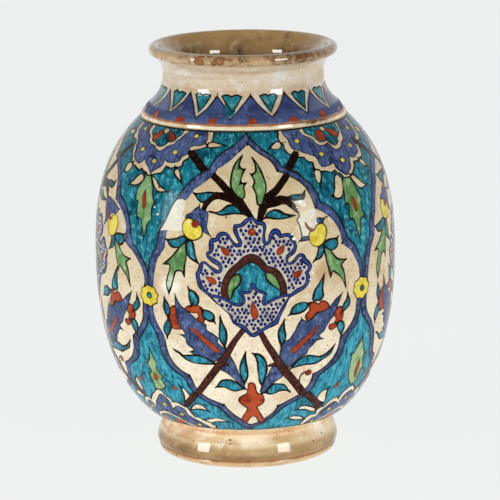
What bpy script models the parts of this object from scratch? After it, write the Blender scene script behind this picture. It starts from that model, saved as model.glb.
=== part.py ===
"""Painted and glazed ceramic vase, thrown in sections that are luted together with slip.

The vase stands on Z = 0 with its turning axis on Z. Every piece is turned from a half section,
written as (radius, height) points, and the seams between pieces are stepped laps.
"""
import math

import bmesh
import bpy
from mathutils import Vector

# Driving dimensions, in metres
SEAM_GAP = 0.0003            # slip line left between two sections
LAP_HEIGHT = 0.0030          # tongue of a stepped seam

FOOT_HEIGHT = 0.0275         # ground to the seam under the body
FOOT_ROLL_RADIUS = 0.0666    # widest line of the foot
FOOT_ROLL_HEIGHT = 0.0067    # that line's height
FOOT_NECK_RADIUS = 0.0578    # foot where it meets the body
FOOT_BORE_RADIUS = 0.0500    # hollow under the floor
FOOT_PLINTH_HEIGHT = 0.0040  # plain fillet the foot stands on
FOOT_PLINTH_INSET = 0.0014   # plinth inside the widest line
FOOT_GROOVE_DEPTH = 0.0012   # groove between plinth and roll
FOOT_EDGE_ROUND = 0.0024     # rounded edges of the standing ring

BODY_HEIGHT = 0.2208         # foot seam to neck seam
BODY_WALL = 0.0065
FLOOR_THICKNESS = 0.0085
SPIGOT_DEPTH = 0.0030        # boss under the floor that centres the foot
BASE_RADIUS = 0.0710         # lower edge of the body
BASE_RISE = 0.0027           # that edge above the foot seam
BELLY_RADIUS = 0.1093
BELLY_HEIGHT = 0.1197        # widest line above the foot seam
BELLY_PULL_DOWN = 0.0724     # curve handles of the body's outline
BASE_PULL_OUT = 0.0169
BASE_PULL_UP = 0.0132
BELLY_PULL_UP = 0.0474
SHOULDER_PULL_OUT = 0.0266
SHOULDER_PULL_DOWN = 0.0257
SHOULDER_LEDGE = 0.0007      # shoulder edge outside the bead

BEAD_HEIGHT = 0.0036
BEAD_THICKNESS = 0.0020

NECK_HEIGHT = 0.0434         # neck seam to lip seam
NECK_WALL = 0.0055
NECK_BASE_RADIUS = 0.0716
NECK_WAIST_RADIUS = 0.0580
NECK_WAIST_HEIGHT = 0.0306   # waist above the neck seam
NECK_TOP_RADIUS = 0.0640
COVE_BASE_PULL = 0.0060      # curve handles of the cove and the flare
COVE_WAIST_PULL = 0.0190
FLARE_WAIST_PULL = 0.0055
FLARE_TOP_PULL = 0.0035

LIP_HEIGHT = 0.0083
LIP_OVERHANG = 0.0042        # lip outside the top of the neck
LIP_SWELL_HEIGHT = 0.0043    # widest line of the lip above its seam

SEGMENTS = 48                # facets round the axis
CURVE_STEPS = 10             # spans in each long curve
ROUND_STEPS = 4              # spans in each quarter round

# Levels and radii that follow from the dimensions above
FLOOR_SEAM_Z = FOOT_HEIGHT + SEAM_GAP
FLOOR_Z = FLOOR_SEAM_Z + FLOOR_THICKNESS
BELLY_Z = FOOT_HEIGHT + BELLY_HEIGHT
NECK_SEAM_Z = FOOT_HEIGHT + BODY_HEIGHT
LIP_SEAM_Z = NECK_SEAM_Z + NECK_HEIGHT
NECK_BORE_RADIUS = NECK_BASE_RADIUS - NECK_WALL
BEAD_INNER_RADIUS = NECK_BASE_RADIUS + SEAM_GAP
SHOULDER_RADIUS = BEAD_INNER_RADIUS + BEAD_THICKNESS + SHOULDER_LEDGE
LIP_RADIUS = NECK_TOP_RADIUS + LIP_OVERHANG

# Fired glaze colours: base colour and roughness
FINISHES = {
    "foot_ring": ((0.62, 0.48, 0.33, 1.0), 0.22),
    "lower_body": ((0.03, 0.21, 0.29, 1.0), 0.18),
    "upper_body": ((0.04, 0.25, 0.33, 1.0), 0.18),
    "shoulder_bead": ((0.76, 0.64, 0.48, 1.0), 0.20),
    "neck": ((0.72, 0.61, 0.47, 1.0), 0.20),
    "lip_roll": ((0.55, 0.40, 0.25, 1.0), 0.22),
}


def curve(start, start_pull, end, end_pull, steps=CURVE_STEPS):
    """Points of a cubic curve; the pulls are handles measured from their own ends."""
    a = Vector(start)
    b = a + Vector(start_pull)
    d = Vector(end)
    c = d + Vector(end_pull)
    points = []
    for step in range(steps + 1):
        t = step / steps
        s = 1.0 - t
        points.append(a * s**3 + b * 3 * s * s * t + c * 3 * s * t * t + d * t**3)
    return points


def quarter_round(start, end, leaves_upright):
    """Quarter ellipse from start to end, leaving start upright or level."""
    a = Vector(start)
    d = Vector(end)
    points = []
    for step in range(ROUND_STEPS + 1):
        turn = math.pi / 2 * step / ROUND_STEPS
        early = math.sin(turn)
        late = 1.0 - math.cos(turn)
        along_r, along_z = (late, early) if leaves_upright else (early, late)
        points.append(Vector((a.x + (d.x - a.x) * along_r, a.y + (d.y - a.y) * along_z)))
    return points


def inside_of(points, wall):
    """The upward-running outline moved inwards by the wall."""
    moved = []
    last = len(points) - 1
    for index, point in enumerate(points):
        along = points[min(index + 1, last)] - points[max(index - 1, 0)]
        along.normalize()
        moved.append(point + Vector((-along.y, along.x)) * wall)
    return moved


def radius_at(points, height):
    """Radius of an upward-running outline at a height, held at its ends."""
    if height <= points[0].y:
        return points[0].x
    for low, high in zip(points, points[1:]):
        if low.y <= height <= high.y:
            return low.x + (high.x - low.x) * (height - low.y) / (high.y - low.y)
    return points[-1].x


def lap_below(outer, inner, height):
    """Stepped seam on the lower section, from outside to inside: the tongue is inside."""
    middle = (outer + inner) / 2
    top = height + LAP_HEIGHT
    return [Vector((outer, height)), Vector((middle, height)), Vector((middle, top)), Vector((inner, top))]


def lap_above(outer, inner, height):
    """Matching seam on the upper section, clear of the tongue by the slip line."""
    middle = (outer + inner) / 2 + SEAM_GAP
    low = height + SEAM_GAP
    high = low + LAP_HEIGHT
    return [Vector((inner, high)), Vector((middle, high)), Vector((middle, low)), Vector((outer, low))]


def lower_outline():
    base = (BASE_RADIUS, FOOT_HEIGHT + BASE_RISE)
    belly = (BELLY_RADIUS, BELLY_Z)
    return curve(base, (BASE_PULL_OUT, BASE_PULL_UP), belly, (0.0, -BELLY_PULL_DOWN))


def upper_outline():
    belly = (BELLY_RADIUS, BELLY_Z)
    shoulder = (SHOULDER_RADIUS, NECK_SEAM_Z)
    return curve(belly, (0.0, BELLY_PULL_UP), shoulder, (SHOULDER_PULL_OUT, -SHOULDER_PULL_DOWN))


def neck_outline():
    base = (NECK_BASE_RADIUS, NECK_SEAM_Z + SEAM_GAP + BEAD_HEIGHT)
    waist = (NECK_WAIST_RADIUS, NECK_SEAM_Z + NECK_WAIST_HEIGHT)
    top = (NECK_TOP_RADIUS, LIP_SEAM_Z)
    cove = curve(base, (0.0, COVE_BASE_PULL), waist, (0.0, -COVE_WAIST_PULL))
    flare = curve(waist, (0.0, FLARE_WAIST_PULL), top, (-FLARE_TOP_PULL, -FLARE_TOP_PULL), CURVE_STEPS // 2)
    return cove + flare[1:]


def lip_bore_radius():
    return radius_at(inside_of(neck_outline(), NECK_WALL), LIP_SEAM_Z)


def foot_section():
    plinth_radius = FOOT_ROLL_RADIUS - FOOT_PLINTH_INSET
    groove = (plinth_radius - FOOT_GROOVE_DEPTH, FOOT_PLINTH_HEIGHT + FOOT_GROOVE_DEPTH / 2)
    widest = (FOOT_ROLL_RADIUS, FOOT_ROLL_HEIGHT)
    flare_pull = (FOOT_HEIGHT - FOOT_ROLL_HEIGHT) / 3
    section = curve(
        (FOOT_NECK_RADIUS, FOOT_HEIGHT), (0.0, -flare_pull), widest, (0.0, flare_pull), CURVE_STEPS // 2
    )
    section += quarter_round(widest, groove, True)[1:]
    section.append(Vector((plinth_radius, FOOT_PLINTH_HEIGHT)))
    rest_edge = (plinth_radius - FOOT_EDGE_ROUND, 0.0)
    section += quarter_round((plinth_radius, FOOT_EDGE_ROUND), rest_edge, True)
    inner_edge = (FOOT_BORE_RADIUS + FOOT_EDGE_ROUND, 0.0)
    section += quarter_round(inner_edge, (FOOT_BORE_RADIUS, FOOT_EDGE_ROUND), False)
    section.append(Vector((FOOT_BORE_RADIUS, FOOT_HEIGHT)))
    return section


def lower_body_section():
    spigot_radius = FOOT_BORE_RADIUS - SEAM_GAP
    spigot_z = FLOOR_SEAM_Z - SPIGOT_DEPTH
    outside = lower_outline()
    inside = inside_of(outside, BODY_WALL)
    underside = [
        Vector((0.0, spigot_z)),
        Vector((spigot_radius, spigot_z)),
        Vector((spigot_radius, FLOOR_SEAM_Z)),
        Vector((FOOT_NECK_RADIUS, FLOOR_SEAM_Z)),
    ]
    seam = lap_below(BELLY_RADIUS, BELLY_RADIUS - BODY_WALL, BELLY_Z)
    wall = [point for point in reversed(inside[:-1]) if point.y > FLOOR_Z]
    floor = [Vector((radius_at(inside, FLOOR_Z), FLOOR_Z)), Vector((0.0, FLOOR_Z))]
    return underside + outside[:-1] + seam + wall + floor


def upper_body_section():
    outside = upper_outline()
    lap_top = BELLY_Z + SEAM_GAP + LAP_HEIGHT
    inside = [point for point in inside_of(outside, BODY_WALL) if point.y > lap_top]
    outside = [point for point in outside[1:-1] if point.y > BELLY_Z + SEAM_GAP]
    belly_seam = lap_above(BELLY_RADIUS, BELLY_RADIUS - BODY_WALL, BELLY_Z)
    collar_seam = lap_below(NECK_BASE_RADIUS, NECK_BORE_RADIUS, NECK_SEAM_Z)
    collar = [Vector((NECK_BORE_RADIUS, inside[-1].y))]
    shoulder_edge = [Vector((SHOULDER_RADIUS, NECK_SEAM_Z))]
    return belly_seam + outside + shoulder_edge + collar_seam + collar + inside[::-1]


def bead_section():
    centre_z = NECK_SEAM_Z + SEAM_GAP + BEAD_HEIGHT / 2
    section = []
    for step in range(2 * ROUND_STEPS + 1):
        turn = math.pi * (step / (2 * ROUND_STEPS) - 0.5)
        radius = BEAD_INNER_RADIUS + BEAD_THICKNESS * math.cos(turn)
        section.append(Vector((radius, centre_z + BEAD_HEIGHT / 2 * math.sin(turn))))
    return section


def neck_section():
    outside = neck_outline()
    inside = inside_of(outside, NECK_WALL)
    lap_top = NECK_SEAM_Z + SEAM_GAP + LAP_HEIGHT
    wall = [point for point in inside if lap_top < point.y < LIP_SEAM_Z]
    base_seam = lap_above(NECK_BASE_RADIUS, NECK_BORE_RADIUS, NECK_SEAM_Z)
    top_seam = lap_below(NECK_TOP_RADIUS, lip_bore_radius(), LIP_SEAM_Z)
    return base_seam + outside[:-1] + top_seam + wall[::-1]


def lip_section():
    bore = lip_bore_radius()
    crest = ((LIP_RADIUS + bore) / 2, LIP_SEAM_Z + LIP_HEIGHT)
    swell = (LIP_RADIUS, LIP_SEAM_Z + LIP_SWELL_HEIGHT)
    seam = lap_above(NECK_TOP_RADIUS, bore, LIP_SEAM_Z)
    roll = quarter_round(seam[-1], swell, False)[1:]
    roll += quarter_round(swell, crest, True)[1:]
    roll += quarter_round(crest, (bore, LIP_SEAM_Z + LIP_SWELL_HEIGHT), False)[1:]
    return seam + roll


def finish(name):
    colour, roughness = FINISHES[name]
    material = bpy.data.materials.new(name + "_glaze")
    material.use_nodes = True
    shader = material.node_tree.nodes["Principled BSDF"]
    shader.inputs["Base Color"].default_value = colour
    shader.inputs["Roughness"].default_value = roughness
    shader.inputs["Metallic"].default_value = 0.0
    material.diffuse_color = colour
    return material


def turn(name, section, parent):
    """Spin a half section about Z into one closed body; a section may start and end on the axis."""
    on_axis = section[0].x == 0.0
    shape = bmesh.new()
    corners = [shape.verts.new((point.x, 0.0, point.y)) for point in section]
    sides = [shape.edges.new(pair) for pair in zip(corners, corners[1:])]
    if not on_axis:
        sides.append(shape.edges.new((corners[-1], corners[0])))
    bmesh.ops.spin(
        shape,
        geom=corners + sides,
        cent=(0.0, 0.0, 0.0),
        axis=(0.0, 0.0, 1.0),
        angle=2 * math.pi,
        steps=SEGMENTS,
    )
    bmesh.ops.remove_doubles(shape, verts=shape.verts, dist=1e-6)
    bmesh.ops.recalc_face_normals(shape, faces=shape.faces)
    mesh = bpy.data.meshes.new(name)
    shape.to_mesh(mesh)
    shape.free()
    mesh.shade_smooth()
    mesh.set_sharp_from_angle(angle=math.radians(40))
    mesh.materials.append(finish(name))
    piece = bpy.data.objects.new(name, mesh)
    piece.parent = parent
    bpy.context.scene.collection.objects.link(piece)
    return piece


def build():
    for old in list(bpy.data.objects):
        bpy.data.objects.remove(old)
    vase = bpy.data.objects.new("vase", None)
    bpy.context.scene.collection.objects.link(vase)
    turn("foot_ring", foot_section(), vase)
    turn("lower_body", lower_body_section(), vase)
    turn("upper_body", upper_body_section(), vase)
    turn("shoulder_bead", bead_section(), vase)
    turn("neck", neck_section(), vase)
    turn("lip_roll", lip_section(), vase)


build()
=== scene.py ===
import math

import bmesh
import bpy
import numpy as np
from mathutils import Euler, Matrix
from mathutils.geometry import delaunay_2d_cdt
from mathutils.kdtree import KDTree


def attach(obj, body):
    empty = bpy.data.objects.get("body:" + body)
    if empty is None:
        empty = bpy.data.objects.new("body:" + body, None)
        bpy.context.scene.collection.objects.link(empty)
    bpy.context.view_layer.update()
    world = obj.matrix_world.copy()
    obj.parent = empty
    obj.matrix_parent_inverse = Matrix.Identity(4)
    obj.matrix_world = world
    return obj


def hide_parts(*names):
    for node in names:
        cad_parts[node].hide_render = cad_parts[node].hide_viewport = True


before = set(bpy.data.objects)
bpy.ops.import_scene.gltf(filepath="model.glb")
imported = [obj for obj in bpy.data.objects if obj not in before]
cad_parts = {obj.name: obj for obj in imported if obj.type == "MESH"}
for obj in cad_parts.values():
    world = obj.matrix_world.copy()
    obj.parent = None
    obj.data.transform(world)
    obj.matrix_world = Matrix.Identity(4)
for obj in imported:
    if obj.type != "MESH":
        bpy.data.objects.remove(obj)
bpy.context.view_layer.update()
mm = 0.001

# The turned outline, in mm (radius, height), as the frame's sections have it
outline = dict(
    baseEdge=(71.0, 30.2),
    basePull=(16.9, 13.2),
    belly=(109.3, 147.2),
    bellyDown=72.4,
    bellyUp=47.4,
    shoulder=(74.6, 248.3),
    shoulderPull=(26.6, -25.7),
    wall=6.5,
    neckBase=(71.6, 252.2),
    neckUp=6.0,
    waist=(58.0, 278.9),
    waistDown=19.0,
    waistUp=5.5,
    neckTop=(64.0, 291.7),
    flarePull=(3.5, 3.5),
    neckWall=5.5,
)
turn = math.radians(6.0)  # the front medallion is turned a little to the right of the camera


def pulled(a, b, c, d, count):
    t = np.linspace(0, 1, count)[:, None]
    a, b, c, d = (np.array(p, float) for p in (a, b, c, d))
    return (1 - t) ** 3 * a + 3 * t * (1 - t) ** 2 * b + 3 * t * t * (1 - t) * c + t**3 * d


def arcLength(line):
    return np.concatenate([[0.0], np.cumsum(np.hypot(*np.diff(line, axis=0).T))])


def bodyOutline(count):
    o = outline
    base, belly, top = (np.array(o[k]) for k in ("baseEdge", "belly", "shoulder"))
    lower = pulled(base, base + o["basePull"], belly - (0, o["bellyDown"]), belly, count)
    upper = pulled(belly, belly + (0, o["bellyUp"]), top + o["shoulderPull"], top, count)
    return np.vstack([lower, upper[1:]])


def neckOutline(count):
    o = outline
    base, waist, top = (np.array(o[k]) for k in ("neckBase", "waist", "neckTop"))
    cove = pulled(base, base + (0, o["neckUp"]), waist - (0, o["waistDown"]), waist, count)
    flare = pulled(waist, waist + (0, o["waistUp"]), top - o["flarePull"], top, count)
    return np.vstack([cove, flare[1:]])


def insideOf(line, wall):
    step = np.gradient(line, axis=0)
    step /= np.hypot(*step.T)[:, None]
    return line + wall * np.column_stack([-step[:, 1], step[:, 0]])


def tint(red, green, blue):
    shares = [c / 255 for c in (red, green, blue)]
    return (*(s / 12.92 if s <= 10 / 255 else ((s + 0.055) / 1.055) ** 2.4 for s in shares), 1.0)


# Adds nodes to one tree; a node given for a socket stands for its first output
class Nodes:
    def __init__(self, tree):
        self.tree = tree

    def add(self, kind, sockets=None, **settings):
        node = self.tree.nodes.new(kind)
        for key, value in settings.items():
            setattr(node, key, value)
        self.feed(node, sockets or {})
        return node

    def geo(self, kind, sockets=None, **settings):
        return self.add("GeometryNode" + kind, sockets, **settings)

    def feed(self, node, sockets):
        for key, value in sockets.items():
            if isinstance(value, bpy.types.Node):
                value = value.outputs[0]
            if isinstance(value, bpy.types.NodeSocket):
                self.tree.links.new(value, node.inputs[key])
            else:
                node.inputs[key].default_value = value

    def calc(self, operation, *values):
        return self.add("ShaderNodeMath", dict(enumerate(values)), operation=operation).outputs[0]

    def plus(self, a, b):
        return self.calc("ADD", a, b)

    def minus(self, a, b):
        return self.calc("SUBTRACT", a, b)

    def times(self, a, b):
        return self.calc("MULTIPLY", a, b)

    def over(self, a, b):
        return self.calc("DIVIDE", a, b)

    def vector(self, operation, *values):
        return self.add("ShaderNodeVectorMath", dict(enumerate(values)), operation=operation).outputs[0]

    def scaled(self, vector, scale):
        return self.add("ShaderNodeVectorMath", {0: vector, "Scale": scale}, operation="SCALE").outputs[0]

    def apart(self, vector):
        return self.add("ShaderNodeSeparateXYZ", {0: vector}).outputs

    def joined(self, x=0.0, y=0.0, z=0.0):
        return self.add("ShaderNodeCombineXYZ", {0: x, 1: y, 2: z}).outputs[0]

    def place(self):
        return self.geo("InputPosition").outputs[0]

    def stored(self, geometry, name, value, kind, domain):
        sockets = {"Geometry": geometry, "Name": name, "Value": value}
        return self.geo("StoreNamedAttribute", sockets, data_type=kind, domain=domain)

    def blend(self, factor, under, over):
        under, over = (tint(*c) if isinstance(c, tuple) else c for c in (under, over))
        return self.add("ShaderNodeMix", {0: factor, 6: under, 7: over}, data_type="RGBA").outputs[2]

    def grade(self, value, low, high, ease="SMOOTHSTEP"):
        sockets = {"Value": value, "From Min": low, "From Max": high}
        return self.add("ShaderNodeMapRange", sockets, interpolation_type=ease).outputs[0]

    def noise(self, vector, scale, detail=3.0, rough=0.55, twist=0.0):
        grain = {"Detail": detail, "Roughness": rough, "Distortion": twist}
        return self.add("ShaderNodeTexNoise", {"Vector": vector, "Scale": scale, **grain}).outputs[0]

    def stretched(self, vector, angle, scale):
        sockets = {"Vector": vector, "Rotation": (0, 0, angle), "Scale": scale}
        return self.add("ShaderNodeMapping", sockets).outputs[0]

    def chart(self):
        return self.add("ShaderNodeUVMap", uv_map="OFBake").outputs[0]


def newTree(name, **inputs):
    tree = bpy.data.node_groups.new(name, "GeometryNodeTree")
    for label, kind in {"Geometry": "Geometry", **inputs}.items():
        tree.interface.new_socket(label, in_out="INPUT", socket_type="NodeSocket" + kind)
    tree.interface.new_socket("Geometry", in_out="OUTPUT", socket_type="NodeSocketGeometry")
    return Nodes(tree), tree.nodes.new("NodeGroupInput").outputs


def endTree(n, geometry, material):
    painted = n.geo("SetMaterial", {"Geometry": geometry, "Material": material})
    n.add("NodeGroupOutput", {0: painted})
    return n.tree


def shown(name, data):
    item = bpy.data.objects.new(name, data)
    bpy.context.collection.objects.link(item)
    return item


def grow(name, flat, tree, values):
    # runs a tree on a mesh and keeps the result as a plain mesh at the origin
    source = shown(name + "Source", flat)
    modifier = source.modifiers.new("make", "NODES")
    modifier.node_group = tree
    for item in tree.interface.items_tree:
        if item.in_out == "INPUT" and item.name in values:
            modifier[item.identifier] = values[item.name]
    graph = bpy.context.evaluated_depsgraph_get()
    mesh = bpy.data.meshes.new_from_object(
        source.evaluated_get(graph), preserve_all_data_layers=True, depsgraph=graph
    )
    source.modifiers.remove(modifier)
    bpy.data.objects.remove(source)
    mesh.name = name
    return shown(name, mesh)


def outlineCurve(name, line):
    curve = bpy.data.curves.new(name, "CURVE")
    curve.dimensions = "3D"
    spline = curve.splines.new("POLY")
    spline.points.add(len(line) - 1)
    for point, (radius, height) in zip(spline.points, line):
        point.co = (radius * mm, 0, height * mm, 1)
    return shown(name, curve)


# Turning: a grid is wrapped round the axis, one ring for each point of the outline
def turningTree():
    n, given = newTree("turnedOnTheWheel", Outline="Object", Segments="Int", Rings="Int", Material="Material")
    section = n.geo("ObjectInfo", {"Object": given["Outline"]}).outputs["Geometry"]
    columns = n.plus(given["Segments"], 1.0)
    grid = n.geo(
        "MeshGrid",
        {"Size X": 1.0, "Size Y": 1.0, "Vertices X": columns, "Vertices Y": given["Rings"]},
    )
    place = n.apart(n.place())
    across = n.plus(place[0], 0.5)
    ring = n.calc("ROUND", n.times(n.plus(place[1], 0.5), n.minus(given["Rings"], 1.0)))

    def atRing(value, kind):
        sockets = {"Geometry": section, "Value": value, "Index": ring}
        return n.geo("SampleIndex", sockets, data_type=kind, domain="POINT").outputs[0]

    at = n.apart(atRing(n.place(), "FLOAT_VECTOR"))
    along = atRing(n.geo("SplineParameter").outputs["Factor"], "FLOAT")
    angle = n.times(across, 2 * math.pi)  # the seam is at the back
    marked = n.stored(grid, "OFBake", n.joined(across, along), "FLOAT2", "CORNER")
    sideways, away = (n.times(at[0], n.calc(wave, angle)) for wave in ("SINE", "COSINE"))
    wrapped = n.joined(sideways, away, at[2])
    moved = n.geo("SetPosition", {"Geometry": marked, "Position": wrapped})
    closed = n.geo("MergeByDistance", {"Geometry": moved, "Distance": 0.002 * mm})
    smooth = n.geo("SetShadeSmooth", {"Geometry": closed})
    real = n.geo("RealizeInstances", {"Geometry": smooth})
    return endTree(n, real, given["Material"])


# Wrapping: flat paint, in metres at the girth, is repeated and laid on a turned outline
def wrappingTree():
    n, given = newTree(
        "laidRoundTheVase", Outline="Object", Copies="Int", Girth="Float", Height="Float", Turn="Float",
        Start="Float", Wander="Float", WanderSize="Float", Material="Material",
    )
    around = n.times(given["Girth"], 2 * math.pi)
    step = n.joined(n.over(around, given["Copies"]))
    row = n.geo("MeshLine", {"Count": given["Copies"], "Offset": step})
    copies = n.geo("InstanceOnPoints", {"Points": row, "Instance": given["Geometry"]})
    real = n.geo("RealizeInstances", {"Geometry": copies})
    place = n.apart(n.place())
    first = n.plus(n.over(place[0], given["Girth"]), given["Turn"])
    # the wander of a hand-held brush, the same for every colour at the same spot
    spotX, spotY = (n.times(n.calc(wave, first), given["Girth"]) for wave in ("SINE", "COSINE"))
    size = n.over(1.0, given["WanderSize"])
    spot = n.joined(spotX, spotY, place[1])
    shake = n.add("ShaderNodeTexNoise", {"Vector": spot, "Scale": size, "Detail": 2.0, "Roughness": 0.45})
    drift = n.apart(shake.outputs["Color"])
    swing = n.times(given["Wander"], 2.0)
    drifts = [n.times(n.minus(drift[axis], 0.5), swing) for axis in (0, 1)]
    angle = n.plus(first, n.over(drifts[0], given["Girth"]))
    height = n.plus(place[1], drifts[1])
    section = n.geo("ObjectInfo", {"Object": given["Outline"]}).outputs["Geometry"]
    sample = n.geo("SampleCurve", {"Curves": section, "Length": height}, mode="LENGTH", use_all_curves=True)
    on = n.apart(sample.outputs["Position"])
    run = n.apart(sample.outputs["Tangent"])
    outward, upward = run[2], n.times(run[0], -1.0)
    radius = n.plus(on[0], n.times(place[2], outward))
    level = n.plus(on[2], n.times(place[2], upward))
    sine, cosine = n.calc("SINE", angle), n.times(n.calc("COSINE", angle), -1.0)
    laid = n.joined(n.times(radius, sine), n.times(radius, cosine), level)
    facing = n.joined(n.times(outward, sine), n.times(outward, cosine), upward)
    chart = n.joined(n.over(n.minus(place[0], given["Start"]), around), n.over(place[1], given["Height"]))
    charted = n.stored(real, "OFBake", chart, "FLOAT2", "CORNER")
    faced = n.stored(charted, "facing", facing, "FLOAT_VECTOR", "POINT")
    moved = n.geo("SetPosition", {"Geometry": faced, "Position": laid})
    smooth = n.geo("SetShadeSmooth", {"Geometry": moved})
    return endTree(n, smooth, given["Material"])


# Dabbing: round dabs of colour stand in uneven rows on a painted ground, clear of its edges
def dabbingTree():
    n, given = newTree(
        "dabbedDots", Spacing="Float", Size="Float", Margin="Float", Lift="Float", Sink="Float", Seed="Int",
        Material="Material",
    )
    ground = given["Geometry"]
    box = n.geo("BoundBox", {"Geometry": ground}).outputs
    wide, tall = n.apart(n.vector("SUBTRACT", box["Max"], box["Min"]))[:2]
    step = n.times(given["Spacing"], 0.87)
    columns = n.calc("CEIL", n.over(wide, given["Spacing"]))
    rows = n.calc("CEIL", n.over(tall, step))
    field = n.geo(
        "MeshGrid",
        {
            "Size X": n.times(columns, given["Spacing"]),
            "Size Y": n.times(rows, step),
            "Vertices X": n.plus(columns, 1.0),
            "Vertices Y": n.plus(rows, 1.0),
        },
    )
    points = n.geo("MeshToPoints", {"Mesh": field})
    # every other row is moved by half a step, and each dab strays a little
    y = n.apart(n.place())[1]
    row = n.calc("ROUND", n.plus(n.over(y, step), n.times(rows, 0.5)))
    half = n.times(n.calc("PINGPONG", row, 1.0), n.times(given["Spacing"], 0.5))
    chanceOff = n.add(
        "FunctionNodeRandomValue",
        {0: (-1, -1, 0), 1: (1, 1, 0), 8: given["Seed"]},
        data_type="FLOAT_VECTOR",
    )
    stray = n.scaled(chanceOff, n.times(given["Spacing"], 0.15))
    offset = n.scaled(n.vector("ADD", box["Max"], box["Min"]), 0.5)
    for extra in (n.joined(half), stray):
        offset = n.vector("ADD", offset, extra)
    scattered = n.geo("SetPosition", {"Geometry": points, "Offset": offset})
    shared = n.calc("GREATER_THAN", n.geo("InputMeshEdgeNeighbors"), 1.5)
    inner = {"Geometry": ground, "Selection": shared}
    rim = n.geo("DeleteGeometry", inner, domain="EDGE", mode="EDGE_FACE")
    near = n.geo("Proximity", {0: rim}, target_element="EDGES").outputs["Distance"]
    below = n.geo("Proximity", {0: ground}, target_element="FACES").outputs["Distance"]
    tooNear = n.calc("LESS_THAN", near, given["Margin"])
    unfit = n.calc("MAXIMUM", tooNear, n.calc("GREATER_THAN", below, 0.01 * mm))
    clear = n.geo("DeleteGeometry", {"Geometry": scattered, "Selection": unfit}, domain="POINT")
    radius = n.times(given["Size"], 0.5)
    depth = n.plus(given["Lift"], given["Sink"])
    dab = n.geo("MeshCylinder", {"Vertices": 7, "Radius": radius, "Depth": depth}, fill_type="NGON")
    middle = n.joined(z=n.times(n.minus(given["Lift"], given["Sink"]), 0.5))
    sunk = n.geo("Transform", {"Geometry": dab, "Translation": middle})
    chance = []
    for low, high, seed in ((-0.5, 0.5, 1), (0.76, 1.0, 2), (0.94, 1.2, 3)):
        pick = n.add("FunctionNodeRandomValue", {2: low, 3: high, 8: seed}, data_type="FLOAT")
        chance.append(pick.outputs[1])
    around, size = n.joined(z=chance[0]), n.joined(chance[1], chance[2], 1.0)
    dots = n.geo("InstanceOnPoints", {"Points": clear, "Instance": sunk, "Rotation": around, "Scale": size})
    real = n.geo("RealizeInstances", {"Geometry": dots})
    return endTree(n, real, given["Material"])


turning = turningTree()
wrapping = wrappingTree()
dabbing = dabbingTree()


def turned(name, line, segments, material):
    guide = outlineCurve(name + "Outline", line)
    piece = grow(
        name,
        bpy.data.meshes.new(name + "Blank"),
        turning,
        {"Outline": guide, "Segments": segments, "Rings": len(line), "Material": material},
    )
    bpy.data.objects.remove(guide)
    shell = bmesh.new()
    shell.from_mesh(piece.data)
    bmesh.ops.recalc_face_normals(shell, faces=shell.faces)
    shell.to_mesh(piece.data)
    shell.free()
    return piece


def keep(piece, slot, *nodes):
    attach(piece, "root")
    if nodes:
        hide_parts(*nodes)
    triangles = sum(len(p.vertices) - 2 for p in piece.data.polygons)
    print(piece.name, len(piece.data.vertices), "points", triangles)


# Painting: coats are laid one over the other on a flat cartoon, in mm, and cut out where they show
brush = dict(
    step=1.15,
    grid=3.2,
    lift=0.07,
    sink=0.22,
    wander=0.6,
    wanderSize=15.0,
    hook=2.6,  # how far the brush runs past a sharp tip
    hookStart=1.6,
    hookBend=0.18,
    hookWidths=(0.55, 0.62, 0.45, 0.1),
    reach=2.2,  # the half widths within which a stroke is looked for
    mostTriangles=20000,
)


def flow(points, closed):
    # a smooth line through the points; a third value of 1 makes a corner
    count = len(points)
    corners = [i for i, p in enumerate(points) if len(p) > 2 and p[2] == 1]
    spots = np.array([p[:2] for p in points], float)
    looped = closed and not corners
    if looped:
        stops = [0, count]
    elif closed:
        stops = [*corners, corners[0] + count]
    else:
        stops = sorted({0, count - 1, *corners})
    line = []
    for first, last in zip(stops, stops[1:]):
        p = spots[np.arange(first, last + 1) % count]
        if looped:
            before, after = p[-2], p[1]
        else:
            before, after = 2 * p[0] - p[1], 2 * p[-1] - p[-2]
        q = np.vstack([before, p, after])
        for a, b, c, d in zip(q, q[1:], q[2:], q[3:]):
            near = [max(np.hypot(*(v - u)), 1e-6) ** 0.5 for u, v in ((a, b), (b, c), (c, d))]
            pieces = max(2, int(math.ceil(np.hypot(*(c - b)) / brush["step"])))
            leave = ((b - a) / near[0] - (c - a) / (near[0] + near[1]) + (c - b) / near[1]) * near[1]
            reach = ((c - b) / near[1] - (d - b) / (near[1] + near[2]) + (d - c) / near[2]) * near[1]
            t = np.linspace(0, 1, pieces, endpoint=False)[:, None]
            line.append(
                (2 * t**3 - 3 * t**2 + 1) * b
                + (t**3 - 2 * t**2 + t) * leave
                + (3 * t**2 - 2 * t**3) * c
                + (t**3 - t**2) * reach
            )
    if not closed:
        line.append(spots[-1:])
    return np.vstack(line)


def within(points, edge):
    inside = np.zeros(len(points), bool)
    x, y = points[:, 0], points[:, 1]
    for (ax, ay), (bx, by) in zip(edge, np.roll(edge, -1, 0)):
        if ay == by:
            continue
        crosses = (ay > y) != (by > y)
        inside ^= crosses & (x < (bx - ax) * (y - ay) / (by - ay) + ax)
    return inside


def boxed(points, shape, margin):
    low, high = shape.min(0) - margin, shape.max(0) + margin
    return ((points > low) & (points < high)).all(axis=1)


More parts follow.
